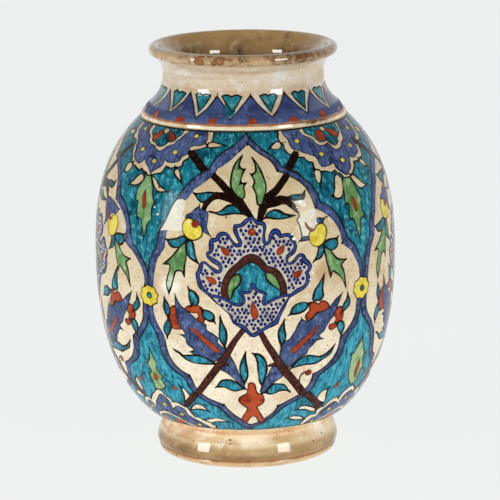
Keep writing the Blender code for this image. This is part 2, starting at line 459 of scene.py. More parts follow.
class Cartoon:
    def __init__(self, left, right, bottom, top, line, girth, grid=brush["grid"]):
        self.frame = (left, right, bottom, top)
        self.grid = grid
        self.line, self.arc, self.girth = line, arcLength(line), girth
        self.coats = []
        self.shift, self.stretch = 0.0, 1.0

    def placed(self, points):
        return [(p[0] * self.stretch + self.shift, *p[1:]) for p in points]

    def fill(self, pigment, points, ink=0.0, inkPigment="outline", hook=0.0):
        edge = flow(self.placed(points), True)
        self.coats.append((pigment, edge, None, True))
        if ink:
            self.draw(inkPigment, edge, ink, True)
        if hook:
            self.hooks(self.placed(points), ink, hook)
        return edge

    def fillEach(self, pigment, shapes, ink=0.0, hook=0.0):
        for points in shapes:
            self.fill(pigment, points, ink, hook=hook)

    def hooks(self, points, ink, reach, sharp=-0.2):
        # the brush runs on a little past each sharp tip
        spots = np.array([p[:2] for p in points], float)
        for i, point in enumerate(points):
            if len(point) < 3:
                continue
            before, tip, after = spots[i - 1], spots[i], spots[(i + 1) % len(spots)]
            a, b = tip - before, tip - after
            a, b = a / np.hypot(*a), b / np.hypot(*b)
            if a @ b < sharp:
                continue
            way = (a + b) / np.hypot(*(a + b))
            side = 1 if int(tip[0] * 7 + tip[1] * 3) % 2 else -1
            bend = np.array([-way[1], way[0]]) * brush["hookBend"] * side
            start = tip - way * brush["hookStart"]
            edge = np.array([start, tip, tip + way * reach * 0.5, tip + (way + bend) * reach])
            self.coats.append(("outline", edge, np.array(brush["hookWidths"]) * max(ink, 0.7), False))

    def stroke(self, pigment, points, widths, ink=0.0):
        # widths: one number, or one for each point
        edge = flow(self.placed(points), False)
        if np.ndim(widths):
            knots = arcLength(np.array([p[:2] for p in self.placed(points)], float))
            along = arcLength(edge)
            widths = np.interp(along / along[-1], knots / knots[-1], widths)
        if ink:
            self.draw("outline", edge, np.asarray(widths) + 2 * ink, False, 0.0)
        self.draw(pigment, edge, widths, False, 0.05)

    def draw(self, pigment, edge, widths, closed, pressure=0.3):
        along = arcLength(edge)
        seed = edge[0, 0] * 1.7 + edge[0, 1] * 0.9
        swing = np.sin(along / 4.3 + seed) + np.sin(along / 9.1 + 2.3 * seed) + np.sin(along / 2.2 - seed)
        half = 0.5 * np.broadcast_to(widths, len(edge)) * (1 + pressure * swing / 2)
        self.coats.append((pigment, edge, half, closed))

    def squeeze(self, y):
        # the vase is narrower above and below the girth
        return np.interp(y, self.arc, self.line[:, 0]) / self.girth

    def sides(self, edge, half, closed):
        # the outlines of a brush line: two rings for a closed one
        k = self.squeeze(edge[:, 1])
        if closed:
            ahead, behind = np.roll(edge, -1, 0), np.roll(edge, 1, 0)
        else:
            ahead, behind = np.vstack([edge[1:], edge[-1:]]), np.vstack([edge[:1], edge[:-1]])
        run = (ahead - behind) * np.column_stack([k, np.ones(len(k))])
        run /= np.maximum(np.hypot(*run.T), 1e-9)[:, None]
        out = np.column_stack([-run[:, 1] / k, run[:, 0]]) * half[:, None]
        if closed:
            return [edge + out, edge - out]
        return [np.vstack([edge + out, (edge - out)[::-1]])]

    def loosePoints(self, spots):
        # a loose grid of points keeps the sheets round on the vase
        left, right, bottom, top = self.frame
        cell, inset, gap = 0.4 * self.grid, 1.5, 1.0
        taken = {tuple(c) for c in np.floor(spots / cell).astype(int)}
        gx, gy = np.meshgrid(
            np.arange(left + inset, right - gap, self.grid),
            np.arange(bottom + inset, top - gap, self.grid * 0.87),
        )
        gx = gx + (np.arange(len(gy)) % 2)[:, None] * self.grid / 2
        loose = np.column_stack([gx.ravel(), gy.ravel()])
        loose = loose[loose[:, 0] < right - 0.8 * gap]
        free = [tuple(c) not in taken for c in np.floor(loose / cell).astype(int)]
        return loose[free]

    def cut(self):
        left, right, bottom, top = self.frame
        reaching = [edge[:, 0].max() > left and edge[:, 0].min() < right for _, edge, _, _ in self.coats]
        self.coats = [coat for coat, reaches in zip(self.coats, reaching) if reaches]
        x = np.linspace(left, right, int((right - left) / self.grid) + 1)
        y = np.linspace(bottom, top, int((top - bottom) / self.grid) + 1)
        border = [(x[:-1], bottom), (right, y[:-1]), (x[:0:-1], top), (left, y[:0:-1])]
        rings = [np.vstack([np.column_stack(np.broadcast_arrays(*side)) for side in border])]
        inked = {id(edge) for _, edge, half, _ in self.coats if half is not None}
        for _, edge, half, closed in self.coats:
            if half is not None:
                rings += self.sides(edge, half, closed)
            elif id(edge) not in inked:
                rings.append(edge)
        links, count = [], 0
        for ring in rings:
            index = np.arange(len(ring)) + count
            links.append(np.column_stack([index, np.roll(index, -1)]))
            count += len(ring)
        links = np.vstack(links)
        spots = np.vstack(rings)
        spots = np.vstack([spots, self.loosePoints(spots)])
        print("cartoon of", len(spots), "points and", len(links), "edges")
        made = delaunay_2d_cdt([tuple(p) for p in spots], links.tolist(), [], 0, 0.0005, False)
        verts = np.array([v[:] for v in made[0]])
        tris = np.array([f for f in made[2] if len(f) == 3])
        middle = verts[tris].mean(axis=1)
        inside = ((middle > (left, bottom)) & (middle < (right, top))).all(axis=1)
        tris, middle = tris[inside], middle[inside]
        print("cut into", len(tris), "triangles")
        uppermost = np.zeros(len(tris), int)
        names = ["bare"]
        for pigment, edge, half, closed in self.coats:
            if pigment not in names:
                names.append(pigment)
            margin = 0 if half is None else half.max() * brush["reach"]
            near = np.flatnonzero(boxed(middle, edge, margin))
            if half is None:
                covered = within(middle[near], edge)
            else:
                covered = self.under(middle[near], edge, half, closed)
            uppermost[near[covered]] = names.index(pigment)
        return verts, {name: tris[uppermost == i] for i, name in enumerate(names)}

    def under(self, points, edge, half, closed, run=60):
        # which points a brush line covers, looked for along one run of it after the other
        if closed:
            edge, half = np.vstack([edge, edge[:1]]), np.append(half, half[0])
        hit = np.zeros(len(points), bool)
        k = self.squeeze(points[:, 1])
        for start in range(0, len(edge) - 1, run):
            stretch, wide = edge[start : start + run + 1], half[start : start + run + 1]
            near = np.flatnonzero(boxed(points, stretch, half.max() * brush["reach"]) & ~hit)
            if not len(near):
                continue
            a, b = stretch[:-1], stretch[1:]
            scale = np.dstack([k[near], np.ones(len(near))]).transpose(1, 0, 2)
            u, w = (b - a)[None] * scale, (points[near][:, None] - a[None]) * scale
            t = np.clip((u * w).sum(2) / np.maximum((u * u).sum(2), 1e-12), 0, 1)
            gap = np.sqrt(((w - t[..., None] * u) ** 2).sum(2))
            hit[near] |= (gap < wide[:-1][None] * (1 - t) + wide[1:][None] * t).any(axis=1)
        return hit


def sheet(name, verts, tris):
    # a thin closed coat: its face stands just proud of the ware, its back lies in the ware
    used, local = np.unique(tris, return_inverse=True)
    local = local.reshape(-1, 3)
    flat = verts[used] * mm
    count = len(flat)
    levels = (brush["lift"] * mm, -brush["sink"] * mm)
    points = np.vstack([np.column_stack([flat, np.full(count, level)]) for level in levels])
    edges = np.vstack([local[:, [0, 1]], local[:, [1, 2]], local[:, [2, 0]]])
    _, back, times = np.unique(np.sort(edges, 1), axis=0, return_inverse=True, return_counts=True)
    rim = edges[times[back.ravel()] == 1]
    walls = np.column_stack([rim[:, 1], rim[:, 0], rim[:, 0] + count, rim[:, 1] + count])
    faces = local.tolist() + (local[:, ::-1] + count).tolist() + walls.tolist()
    mesh = bpy.data.meshes.new(name + "Flat")
    mesh.from_pydata(points.tolist(), [], faces)
    # how far each point is from the edge of its coat, where the colour pools
    edgeSpots = np.unique(rim)
    tree = KDTree(len(edgeSpots))
    for i, spot in enumerate(flat[edgeSpots]):
        tree.insert((*spot, 0), i)
    tree.balance()
    depth = np.array([tree.find((*spot, 0))[2] for spot in flat]) / mm
    pool = mesh.attributes.new("pool", "FLOAT", "POINT")
    pool.data.foreach_set("value", np.concatenate([depth, depth]).astype(np.float32))
    return mesh


def lay(name, flat, guide, copies, cartoon, material, wander):
    piece = grow(
        name,
        flat,
        wrapping,
        {
            "Outline": guide,
            "Copies": copies,
            "Girth": cartoon.girth * mm,
            "Start": cartoon.frame[0] * mm,
            "Height": cartoon.arc[-1] * mm,
            "Turn": turn,
            "Wander": wander * mm,
            "WanderSize": brush["wanderSize"] * mm,
            "Material": material,
        },
    )
    facing = np.empty(len(piece.data.vertices) * 3, np.float32)
    piece.data.attributes["facing"].data.foreach_get("vector", facing)
    piece.data.normals_split_custom_set_from_vertices(facing.reshape(-1, 3).tolist())
    piece.data.attributes.remove(piece.data.attributes["facing"])
    return piece


# The pointed medallion, drawn in mm round the front of the vase, up the outline from the foot
medallion = dict(
    left=-85.2,
    right=82.5,
    ink=1.35,
    rimOuter=[
        (-8.8, 236, 1), (-5.9, 231.3), (-0.9, 226.5), (5.6, 221.2), (12.5, 216.5), (16.5, 213),
        (19.3, 208.5, 1), (25.7, 205.2), (31.2, 202.7), (37.3, 197), (42.4, 192.2), (45.3, 185.8),
        (46.7, 180.4, 1), (53.1, 177.4), (58, 173), (62, 166.5), (65, 160.5), (67, 155), (69, 152),
        (73, 148), (77, 142.5), (80, 137), (82, 131), (82.5, 125), (82, 114), (81, 104), (80.5, 97),
        (79, 92), (76, 87), (72, 83), (69, 79), (67.5, 74), (66.5, 69), (64.5, 65), (61, 61.5), (56, 58.5),
        (51, 56), (48, 54), (46, 50), (44.5, 45.5), (42, 41.5), (38.5, 38), (34, 35), (29, 33), (24, 30.5),
        (20, 27.5), (17, 23.5), (14, 20), (10, 17), (5, 13), (0, 9.5), (-4, 6), (-9.5, 2.4, 1), (-16, 7.5),
        (-21, 12.5), (-26, 17), (-29.5, 21), (-32.5, 25.5), (-35, 28.5), (-39, 30.5), (-44, 32.5),
        (-49, 36), (-54, 40), (-57, 43.5), (-58.5, 46.5), (-59.5, 50.5), (-62, 54), (-66, 57), (-70, 59.5),
        (-74, 63.5), (-77, 68.5), (-78.5, 74), (-79, 80), (-80.5, 86), (-83.5, 91), (-86.2, 96), (-87, 104),
        (-86, 114), (-85.2, 125), (-85, 130), (-84.5, 136), (-82.5, 141.5), (-79.5, 146.5), (-77.5, 150),
        (-77, 155), (-75.8, 161), (-73, 166), (-69.8, 172.5), (-67, 179), (-63.8, 184), (-60.5, 189.2),
        (-56.7, 195.2), (-51.6, 200.4), (-45.2, 204.9), (-39.6, 207.4, 1), (-38.5, 211.5), (-36.1, 214.5),
        (-30, 220.4), (-22.6, 224.7), (-16.2, 229.4), (-12.8, 231.9),
    ],
    rimInner=[
        (-8.5, 227.1, 1), (-3.9, 222.9), (2.7, 218.5), (9.6, 214.2), (12.6, 210.5), (15.1, 205.3, 1),
        (20.7, 203.2), (25.9, 200.6), (31.7, 196.7), (36.2, 192.3), (39.3, 186.4), (41.4, 179.2),
        (42.2, 176.6, 1), (48, 173.2), (53.1, 169.4), (57, 165), (60, 160), (61.5, 155), (62, 149.5, 1),
        (66, 146.5), (70, 143.5), (73.5, 138.5), (76.5, 133.5), (78.5, 128), (79, 122), (77.8, 113),
        (76.5, 104), (76, 98), (74, 93), (71, 88.5), (67, 84.5), (62.5, 80.5, 1), (62, 76), (61, 71),
        (58.5, 66.5), (55, 62.5), (50, 59), (45, 56.5), (41.5, 55, 1), (41, 51), (39.5, 46.5), (36.5, 42.5),
        (33, 39), (28, 36.5), (23, 34), (18.5, 31.5), (15, 30.5, 1), (14, 27), (11.5, 23), (8, 19.5),
        (4, 16.5), (0.5, 13.5), (-8.5, 9, 1), (-14, 13.5), (-18, 17.5), (-22, 20.5), (-26, 24.5),
        (-29.5, 29), (-31, 32.3, 1), (-35, 33.5), (-40, 35.5), (-45, 38), (-50, 42), (-52.5, 45.5),
        (-54, 49), (-55, 53), (-56.5, 56.5, 1), (-61, 58.5), (-65, 61), (-69, 65.5), (-71.5, 70), (-73, 76),
        (-73.5, 82, 1), (-74.5, 87), (-77, 91), (-79.5, 95.5), (-81.3, 101), (-81.2, 113), (-80.5, 124),
        (-80, 130), (-78.5, 135), (-77, 140), (-74, 145), (-71, 149.5, 1), (-70.5, 155), (-69.5, 161),
        (-66.5, 166, 1), (-64.5, 172), (-61, 178), (-57.2, 183.5), (-54.4, 185.8), (-50.8, 191.5),
        (-45.5, 195.6), (-39.2, 200.2), (-34.3, 204.7, 1), (-33, 207.5), (-29.6, 209.3), (-22.2, 214.4),
        (-16, 220.2), (-10.9, 224.7),
    ],
    innerLines=((0, 13), (24, 73), (98, 100)),
    # painted highlights: the lamps' reflections on the shoulder, as pale patches over the blue border and the
    # right cap
    wornRim=[
        (-59, 184.8, 1), (-56.5, 183.1), (-57, 178.3), (-58, 174.4), (-55, 170.8), (-55.8, 168.7),
        (-56.3, 164.4), (-58.6, 162.7), (-66.6, 162.6), (-75, 161.4, 1), (-72.4, 166), (-69.2, 172.6),
        (-66.4, 179), (-63.2, 183.8),
    ],
    wornCap=[
        (37, 176.3), (42, 176.5), (41.3, 171.7), (43.2, 166.6), (39.8, 164.9), (40.4, 162.7), (37, 160.6),
        (36.1, 158.2), (31.4, 158), (28.9, 161.7), (27.5, 168.1), (26.5, 170.3), (28.6, 171.5),
        (31.1, 174.1), (35, 176.2),
    ],
    wornLine=[
        (28.1, 175), (28.2, 171.5), (26.5, 169.9), (28.1, 166), (28.9, 161.7), (29.4, 156.8), (27.4, 154.9),
    ],
    capLeft=[
        [(43.6, 170), (47.3, 169.1), (50.9, 169.8, 1), (48, 168.2), (46.8, 165.5), (43.1, 165.9),
         (41.9, 169.5)],
        [(29.8, 157.4), (34.5, 157.7), (34.5, 155.6), (31.2, 155.1), (27.6, 154.8, 1)],
    ],
    tongue=([(32.5, 167.7), (34.5, 164), (37.1, 162), (39.5, 162.1)], (0.7, 1.7, 2, 0.9)),
    darkBranches=[
        (
            [(-35.6, 202.2), (-29.8, 197.4), (-24, 191.9), (-15.5, 184.3), (-9.6, 176.5), (-7, 173.9)],
            (4.6, 5, 5.8, 6.4, 5.2, 3.4),
        ),
        (
            [(-41.6, 178.6), (-39.8, 182.6), (-36.8, 186.2), (-32.6, 188.2), (-27, 188.1), (-18, 185.2)],
            (3.5, 4.2, 4.6, 5, 5.5, 6),
        ),
        (
            [(22.6, 201.8), (17.6, 196.7), (12.5, 191.6), (5.5, 186.2), (2.9, 182.2), (0.8, 177.1),
             (-1.4, 170.7)],
            (5, 5, 5.5, 6.5, 6.4, 5.6, 3.6),
        ),
        (
            [(5, 182.3), (11.3, 183.3), (14.5, 184.3), (17.4, 184.3), (20, 183.6), (22.1, 181.7),
             (24.6, 179.3), (27, 175.9)],
            (6.5, 6.8, 6.6, 6, 6, 5.2, 4.1, 2.6),
        ),
    ],
    outsideStems=[([(-59, 218.5), (-44, 206)], (5, 5)), ([(25, 206.4), (34, 216.5)], (5, 5))],
    topLeaves=[
        [(-13.5, 217, 1), (-16, 215), (-19, 211), (-21, 206), (-22, 200), (-21.5, 194.5), (-19, 190.5),
         (-15.5, 187.5), (-12.5, 186.5), (-11.2, 190), (-12, 194.5), (-10.5, 197.2, 1), (-14.8, 197, 1),
         (-13.2, 203), (-11.3, 207, 1), (-15.8, 208.3, 1), (-15.5, 211.5)],
        [(-4.5, 215.5, 1), (-2, 213), (1, 208), (3.5, 202), (5, 196), (4.5, 191), (2.5, 187), (1, 182.5),
         (-1.8, 182), (-2.5, 185), (-3, 190), (-5, 194.5, 1), (-3.5, 198), (-6, 203.5, 1), (-2.5, 205),
         (-2, 209)],
    ],
    featherLeaves=[
        [(-71.4, 113, 1), (-72.6, 107.5), (-71.4, 103), (-69.2, 100, 1), (-67.6, 104), (-68.6, 109)],
        [(-69, 99, 1), (-72.5, 95), (-73.6, 90), (-71.5, 85.5, 1), (-69.2, 89), (-67.5, 94)],
        [(-52, 122, 1), (-51.8, 116), (-50.5, 110.5, 1), (-46.3, 111), (-45.3, 115), (-47.5, 119.5)],
        [(-42.8, 107.5, 1), (-38, 107), (-34.3, 104), (-34.3, 99.5, 1), (-38, 100), (-42, 102.3)],
        [(-29.6, 102, 1), (-28, 97.5), (-26, 92.5), (-25.6, 86.5), (-27, 81, 1), (-30.8, 87),
         (-30.6, 93.5)],
        [(-65.7, 75, 1), (-62.6, 73.9), (-60.4, 72), (-52.5, 72.9), (-46.9, 73), (-43.1, 71.9),
         (-34.2, 67, 1), (-43.6, 66.7), (-52.6, 67.1), (-58.9, 70), (-62.4, 72.8)],
        [(20, 103.5, 1), (22, 108.5), (28, 111.2), (34.3, 110, 1), (31, 105.6), (26, 103.8)],
        [(45.7, 128.5, 1), (42, 123.5), (38.3, 118), (37.3, 112), (42, 111.5, 1), (45.2, 113.5),
         (44.8, 120)],
        [(67, 112, 1), (65.6, 107.8), (63, 105), (61.6, 100, 1), (66, 102), (69.3, 105.8)],
        [(57.6, 92.5, 1), (61, 93.6), (63.8, 92.4), (65, 88.5), (63, 82.5, 1), (60, 87)],
    ],
    leaflets=[
        [(-49.6, 189.1, 1), (-46.5, 189.3), (-38.7, 190.3), (-34.3, 190, 1), (-39.4, 185.1), (-42, 183, 1),
         (-44.3, 183.6), (-46.7, 185.4)],
        [(-36, 177, 1), (-32, 176.7), (-28.9, 177.9), (-25.8, 180.2), (-22.7, 181.7), (-19.6, 182),
         (-17, 180.8), (-12.6, 175.8, 1), (-20.6, 176.1), (-28.3, 175.1), (-31.5, 175.7)],
        [(21.6, 186.3, 1), (24, 187.5), (28.3, 187.4), (32.3, 186.9), (34.7, 188.4, 1), (34.4, 185.8),
         (32.7, 184.2), (29.5, 183.5), (25.6, 184)],
        [(3.2, 172.9, 1), (4.4, 175.3), (7.1, 177.1), (10.3, 177.8), (13.9, 176.9), (17.5, 174.7),
         (23.9, 173, 1), (16.8, 171.6), (11.5, 171.8), (6.3, 172.7)],
        [(-12.4, 75.5, 1), (-12, 69.5), (-11, 64.1), (-10.6, 59.7), (-11.3, 55.9), (-13.3, 51.8, 1),
         (-15.3, 56.7), (-16.4, 61.2), (-16.2, 65.6), (-15, 70.3)],
        [(-35.3, 48.4, 1), (-33.2, 51.4), (-30.5, 53.8), (-26.9, 54.5), (-22.7, 54), (-18.6, 51.8),
         (-13.6, 47, 1), (-21, 45), (-24.9, 46.2), (-28.8, 48)],
        [(-5.9, 75, 1), (-3.3, 75), (-0.6, 73.5), (2.1, 70.2), (3.6, 65.8), (3.4, 60.7), (0.6, 49.4, 1),
         (-1.3, 52.6), (-2.4, 58.7), (-2.9, 64.6), (-3.6, 70.4)],
        [(3.4, 42.9, 1), (5.8, 46.8), (9.2, 50.1), (13.6, 50), (18.2, 48.6), (23, 43, 1), (18.7, 44.2),
         (14.2, 43.8), (10.6, 42), (6.9, 41.5)],
        [(22.6, 62.4, 1), (27.1, 67.6), (30.9, 69.8), (34.9, 70.6), (45.7, 68.8), (50.7, 70),
         (57.2, 74.9, 1), (54.9, 70), (51, 67.7), (46.2, 65.5), (41.3, 63.8), (30.8, 63.8)],
        [(15.3, 98.6, 1), (15.6, 93), (16.6, 89.8), (17, 87), (16, 83.6), (13.9, 80.6, 1), (12.3, 85),
         (11.5, 89.3), (11.9, 92.5), (13.6, 96)],
    ],
    leftBulb=dict(
        cap=[
            (-54.7, 174.6, 1), (-51.2, 175.8), (-48, 178.9), (-45.3, 180.9, 1), (-43.3, 178.1),
            (-39.8, 177.6), (-38.1, 175.5), (-38.3, 170.3), (-38.9, 166.1), (-36.2, 160.5, 1), (-40, 162.5),
            (-43.4, 164.5), (-46, 168.8), (-49, 171.2), (-52.8, 170.9), (-55, 171.5),
        ],
        fruit=[
            (-57, 168), (-56.5, 163), (-54, 158.5), (-49, 157), (-44.5, 158.5), (-42, 162), (-43, 166.5),
            (-46, 168.5), (-50, 171.5), (-54, 172),
        ],
        berry=(-47.5, 168.3, 2.7, 2.6),
        sepals=[
            [(-53.5, 159.5, 1), (-57, 158.8), (-62, 157), (-69.3, 155.5, 1), (-66, 151.5), (-61, 150.8),
             (-57, 153), (-54, 156.5)],
            [(-53, 157.2, 1), (-50, 156.5), (-47.8, 151), (-46.8, 146), (-45.3, 141.5, 1), (-49, 143.3),
             (-52.3, 146), (-53.8, 151)],
        ],
        leaf=[
            (-55.5, 156.5, 1), (-58, 152.5), (-62, 147.5), (-66, 143), (-71, 138.5, 1), (-67, 138.5),
            (-66.5, 136), (-68.5, 130), (-69.5, 124), (-67.5, 118, 1), (-65, 124), (-63.5, 130), (-62, 134),
            (-57.5, 134.5), (-55.5, 131.5, 1), (-55.5, 136), (-54, 144), (-53.5, 150),
        ],
    ),
    rightBulb=dict(
        cap=[
            (26, 175.5, 1), (30, 176.5), (36, 175.5), (42, 174), (49, 170.5, 1), (46, 167), (40, 166.2),
            (36, 163.5), (33, 160), (30, 157.5), (27, 155.5, 1), (29, 161), (27.5, 166), (26.2, 170),
        ],
        fruit=[
            (34.9, 158.4), (35.8, 160.8), (39.3, 162), (41.2, 164.6), (44.8, 165.9), (48, 164.6),
            (49.7, 159.5), (48.1, 155.2), (45.7, 151.6), (40.4, 149.9), (36.1, 152.6),
        ],
        sepals=[
            [(45.5, 151.3, 1), (50, 153.3), (58.3, 154, 1), (57.6, 148.5), (54, 146), (49, 147.7)],
            [(42, 150.5, 1), (41.3, 146), (38.6, 140.5, 1), (44, 142.6), (45.9, 147), (45.2, 150.7)],
        ],
        leaf=[
            (46, 149.5, 1), (51, 147), (54, 142.5), (58, 139), (65, 137.5, 1), (62, 135.5), (61, 134),
            (63, 129), (64.7, 118.5, 1), (61, 124.5), (57, 128.5), (53.5, 131), (51.5, 127.5, 1),
            (50.5, 132), (48.5, 138), (47, 144),
        ],
    ),
    palmette=[
        (-6.9, 173), (-9.3, 172), (-12.2, 169.4), (-14.3, 168), (-18.6, 167.1, 1), (-18.4, 164),
        (-16.8, 160.2), (-14.8, 156.2), (-15.2, 154.2, 1), (-18.2, 154.4), (-21.2, 157.6), (-23.9, 161.1),
        (-25.7, 162), (-27.9, 161.9), (-29.9, 160.7), (-30.7, 158.7, 1), (-32.5, 157.6), (-34.6, 157.6),
        (-35.4, 155.9), (-35.4, 151.5), (-36, 149.3), (-38.1, 148.2, 1), (-37.7, 146.2), (-33.9, 143.3),
        (-30, 140.6), (-28.6, 137.4), (-29.7, 135.6), (-31.4, 135.5), (-35.9, 138.5), (-40.1, 141.7),
        (-41.8, 141.2), (-43.3, 137), (-43.6, 135.2, 1), (-45.2, 133.8), (-45.2, 131.6), (-44, 127.2),
        (-43.3, 125.1), (-40.7, 121.8), (-33.1, 115.6), (-25.6, 108.7), (-22.7, 105.7), (-21.4, 101.9),
        (-20, 98.9, 1), (-15.8, 97.1), (-12.3, 94.9), (-10, 92.1), (-8, 90.1), (-6, 89.6, 1), (0.6, 93.7),
        (9.6, 98.5, 1), (14.9, 108.8), (19.1, 116.4, 1), (25.2, 120.1), (29.6, 122), (32.1, 124.7),
        (33.1, 129.5), (32.2, 132.1, 1), (34.1, 134.5), (35, 136.4), (33.8, 138.7), (30.4, 141.8, 1),
        (30.2, 143.9), (28.7, 145.4), (26.3, 145.1), (23, 141.7), (21.1, 140.3), (18.9, 140.1),
        (17.6, 142.2), (18.5, 145.3), (22.7, 148.6), (24.1, 152.8), (21.7, 156.5, 1), (21.3, 158.7),
        (19.5, 160.1), (17.2, 160.4), (13.1, 159.5, 1), (12.3, 161.9), (11, 163.1), (9.4, 163.2),
        (6.4, 159.7), (5.7, 157.1), (4.7, 155.4), (3.1, 154.9), (1.8, 156.1), (1.4, 159.5), (2.4, 165.9),
        (2, 168), (0.6, 169.3), (-1.4, 169.5, 1), (-3.1, 169.8), (-4.9, 171.7),
    ],
    palmetteInk=2.9,
    palmetteSpots=[
        ((-29, 153.7), (-23, 147), 4.6),
        ((16.5, 153.7), (11.2, 146.8), 4.8),
        ((-39.8, 131.9), (-31.7, 126.8), 4.6),
        ((29.3, 134.6), (22.6, 130), 4.8),
        ((-7.4, 115), (-4.6, 101), 5),
    ],
    palmetteEye=(-6.9, 163.1, 2.7, 2.6),
    arch=[
        (-25.8, 117.4), (-26.5, 120.7), (-25.9, 124.8), (-24.4, 130), (-21.9, 134.6), (-18.7, 137.8),
        (-15.7, 140.1), (-13, 142.4), (-10.4, 144.3), (-7.6, 145), (-4.8, 144.4), (-1.1, 141.7),
        (0.6, 139.7), (2.3, 137.6), (5, 136.4), (7.7, 135.4), (10.2, 133.5), (12.4, 130), (14.2, 126.1),
        (15.2, 122), (14.9, 118.1),
    ],
    archFloor=[(10, 113), (-6, 108), (-23, 112)],
    archWidth=3.5,
    crown=[
        (-36.1, 118, 1), (-30.8, 117.4), (-26.7, 115.9), (-20.9, 112.9), (-18, 112), (-15.1, 112),
        (-13.3, 113.5), (-13, 116.5), (-14.2, 119.4), (-15.1, 121, 1), (-11.6, 120.6), (-8.7, 121.3),
        (-7.4, 123.6), (-6.3, 126.4, 1), (-4.6, 123.2), (-2.9, 121.7), (0, 120.8), (2.1, 119.7, 1),
        (1.5, 116.8), (0.6, 113.8), (1.4, 111.9, 1), (4.7, 113.3), (8.2, 115.1), (12.4, 116.8),
        (15.9, 117.6), (19.1, 117.5, 1), (10, 106), (-6, 98), (-23, 106),
    ],
    crownInk=2.4,
    archLeaves=[
        [(-15.9, 133.7, 1), (-14.9, 131.4), (-15.2, 127.9), (-16.7, 125.2), (-19.6, 122.5), (-20.8, 119.5),
         (-21.9, 116.2, 1), (-24, 115.9), (-25, 118.9), (-24.6, 124.3), (-22.4, 129.9), (-19, 133.4)],
        [(2, 134.6, 1), (5.2, 134.6), (9, 132.6), (11.8, 129), (13.2, 125.2), (12.8, 121.6, 1),
         (9.4, 123.9), (5.9, 126.7), (3, 129.8)],
    ],
    lowerStems=[
        ([(-11.5, 96), (-20.3, 84.5), (-28.6, 70.7), (-35.8, 61.3), (-51.5, 42)], (2.6, 3, 4.1, 4.3, 3.6)),
        (
            [(-3, 94.5), (4.4, 80.7), (9.5, 72.7), (15.9, 62.7), (24.6, 52.6), (35.4, 39.6)],
            (2.6, 3.5, 4, 5.2, 4.8, 4.6),
        ),
    ],
    twigs=[([(-32, 67.6), (-26.2, 67)], (2.8, 1.2)), ([(13, 67), (5.6, 65.7)], (3.4, 0.9))],
    lowerOutside=[
        ([(-54.5, 40), (-66, 29)], (4, 4)),
        ([(38.5, 39.5), (50, 30), (58.5, 22.5)], (4.3, 4.5, 4.5)),
    ],
    leftFeather=dict(
        blade=[
            (-62.5, 116.8, 1), (-59.4, 110.7), (-55.7, 107.4), (-49, 101.8), (-45.3, 99), (-40, 96.7, 1),
            (-40.1, 93.2), (-35.9, 90.3), (-31.8, 87.1, 1), (-32.3, 84.1), (-29, 81.1), (-26.1, 78.6),
            (-31.4, 71.3), (-35.9, 69.2), (-43.4, 70.7), (-48.4, 73), (-53.4, 75.4, 1), (-50.6, 77.3),
            (-55.4, 82), (-55.8, 85.1), (-59.8, 87.9, 1), (-56.1, 88.9), (-60.3, 94.7), (-61.9, 100.7),
            (-62.3, 105.6), (-62.6, 110.4),
        ],
        tail=[
            (-25.8, 76.5), (-21.7, 70.3), (-18.2, 62.3), (-15.3, 54.8), (-12.4, 46.6, 1), (-16.5, 50.6),
            (-21.9, 56.3), (-26.6, 60.3), (-33, 64.5), (-31, 69.8),
        ],
        stripe=(
            [(-52.3, 93.9), (-48.3, 91.4), (-42.3, 85.5), (-36.4, 80.8), (-32.9, 77.4)],
            (1, 2.4, 3.1, 3.6, 3),
        ),
        collars=[
            [(-64.8, 108.4), (-68.6, 104.9), (-70, 101), (-69.6, 96.8), (-67.2, 92.7), (-61.9, 91.8),
             (-57.3, 93.7), (-59.7, 97), (-61.6, 100.7), (-62.1, 105.6), (-63, 108.9)],
            [(-55.7, 107.2), (-53.7, 109.4), (-47.3, 110.7), (-42.5, 109), (-40.7, 104.8), (-41.4, 99.3),
             (-43, 96.1), (-46, 96.5), (-47.2, 99.5), (-45.2, 102.7), (-47.6, 105), (-51.9, 105.3)],
        ],
        glint=(-48.2, 103.4, 2.4, 1.5),
    ),
    rightFeather=dict(
        blade=[
            (61.4, 113.6, 1), (55.8, 110), (50.9, 105.8), (46, 103.4), (40.6, 102.3), (36.8, 98.5),
            (31.9, 97.4, 1), (28.9, 99.4, 1), (26, 94.8), (23.9, 90.6), (19.8, 84.6, 1), (16.8, 83.6),
            (15.2, 81.8), (13.9, 79.2), (13.2, 75.5), (13.4, 71.6), (17.1, 66.2), (20.6, 63.2),
            (25.5, 67.4), (29.3, 70.3), (33.9, 72.2, 1), (34.9, 75.5), (38.7, 78.9), (41.2, 81.7),
            (46.2, 82.5, 1), (42.9, 85.3), (46.9, 88.5), (49.4, 92.5), (52.1, 96.4), (54.8, 99.7),
            (58.8, 107.7),
        ],
        tail=[
            (8.6, 65), (13.5, 62.5), (17.2, 57.4), (9.1, 51.3), (3, 44.1), (0.9, 41.4, 1), (-0.5, 43.9),
            (0, 47.1), (1.9, 52.1), (4.5, 58),
        ],
        stripe=([(23, 75.5), (29.8, 81.2), (37.3, 87.9), (42, 93.1)], (3, 3.4, 2.8, 1)),
        collars=[
            [(33.5, 97.7), (31.7, 101.5), (34.6, 104.9), (34.5, 109.2), (37.8, 110.6), (41.8, 108.9),
             (43.8, 111.1), (48.6, 109.2), (50.5, 105.3), (46, 103.4), (40.6, 102.9), (37.4, 99.7)],
            [(56.8, 103.1), (59.8, 104.5), (62.9, 102.7), (63.5, 97.1), (62.1, 93), (57.8, 89.9),
             (53.4, 88.1), (51, 90.4), (51.6, 92.2), (55.3, 92.8), (56.8, 96.3), (55.1, 99.1)],
        ],
        glint=(53.8, 95.2, 1.5, 1.8),
    ),
    bud=(37.3, 56.9, 2.5, 2.2),
    budStem=[(34.9, 57.8), (31.7, 56.6), (30.4, 53.3), (30.5, 50)],
    standing=[
        (-7.3, 52.4), (-5.5, 51.2), (-4.5, 48.8), (-4.1, 45.3), (-2.4, 42.5), (-0.2, 42), (1.7, 40.1),
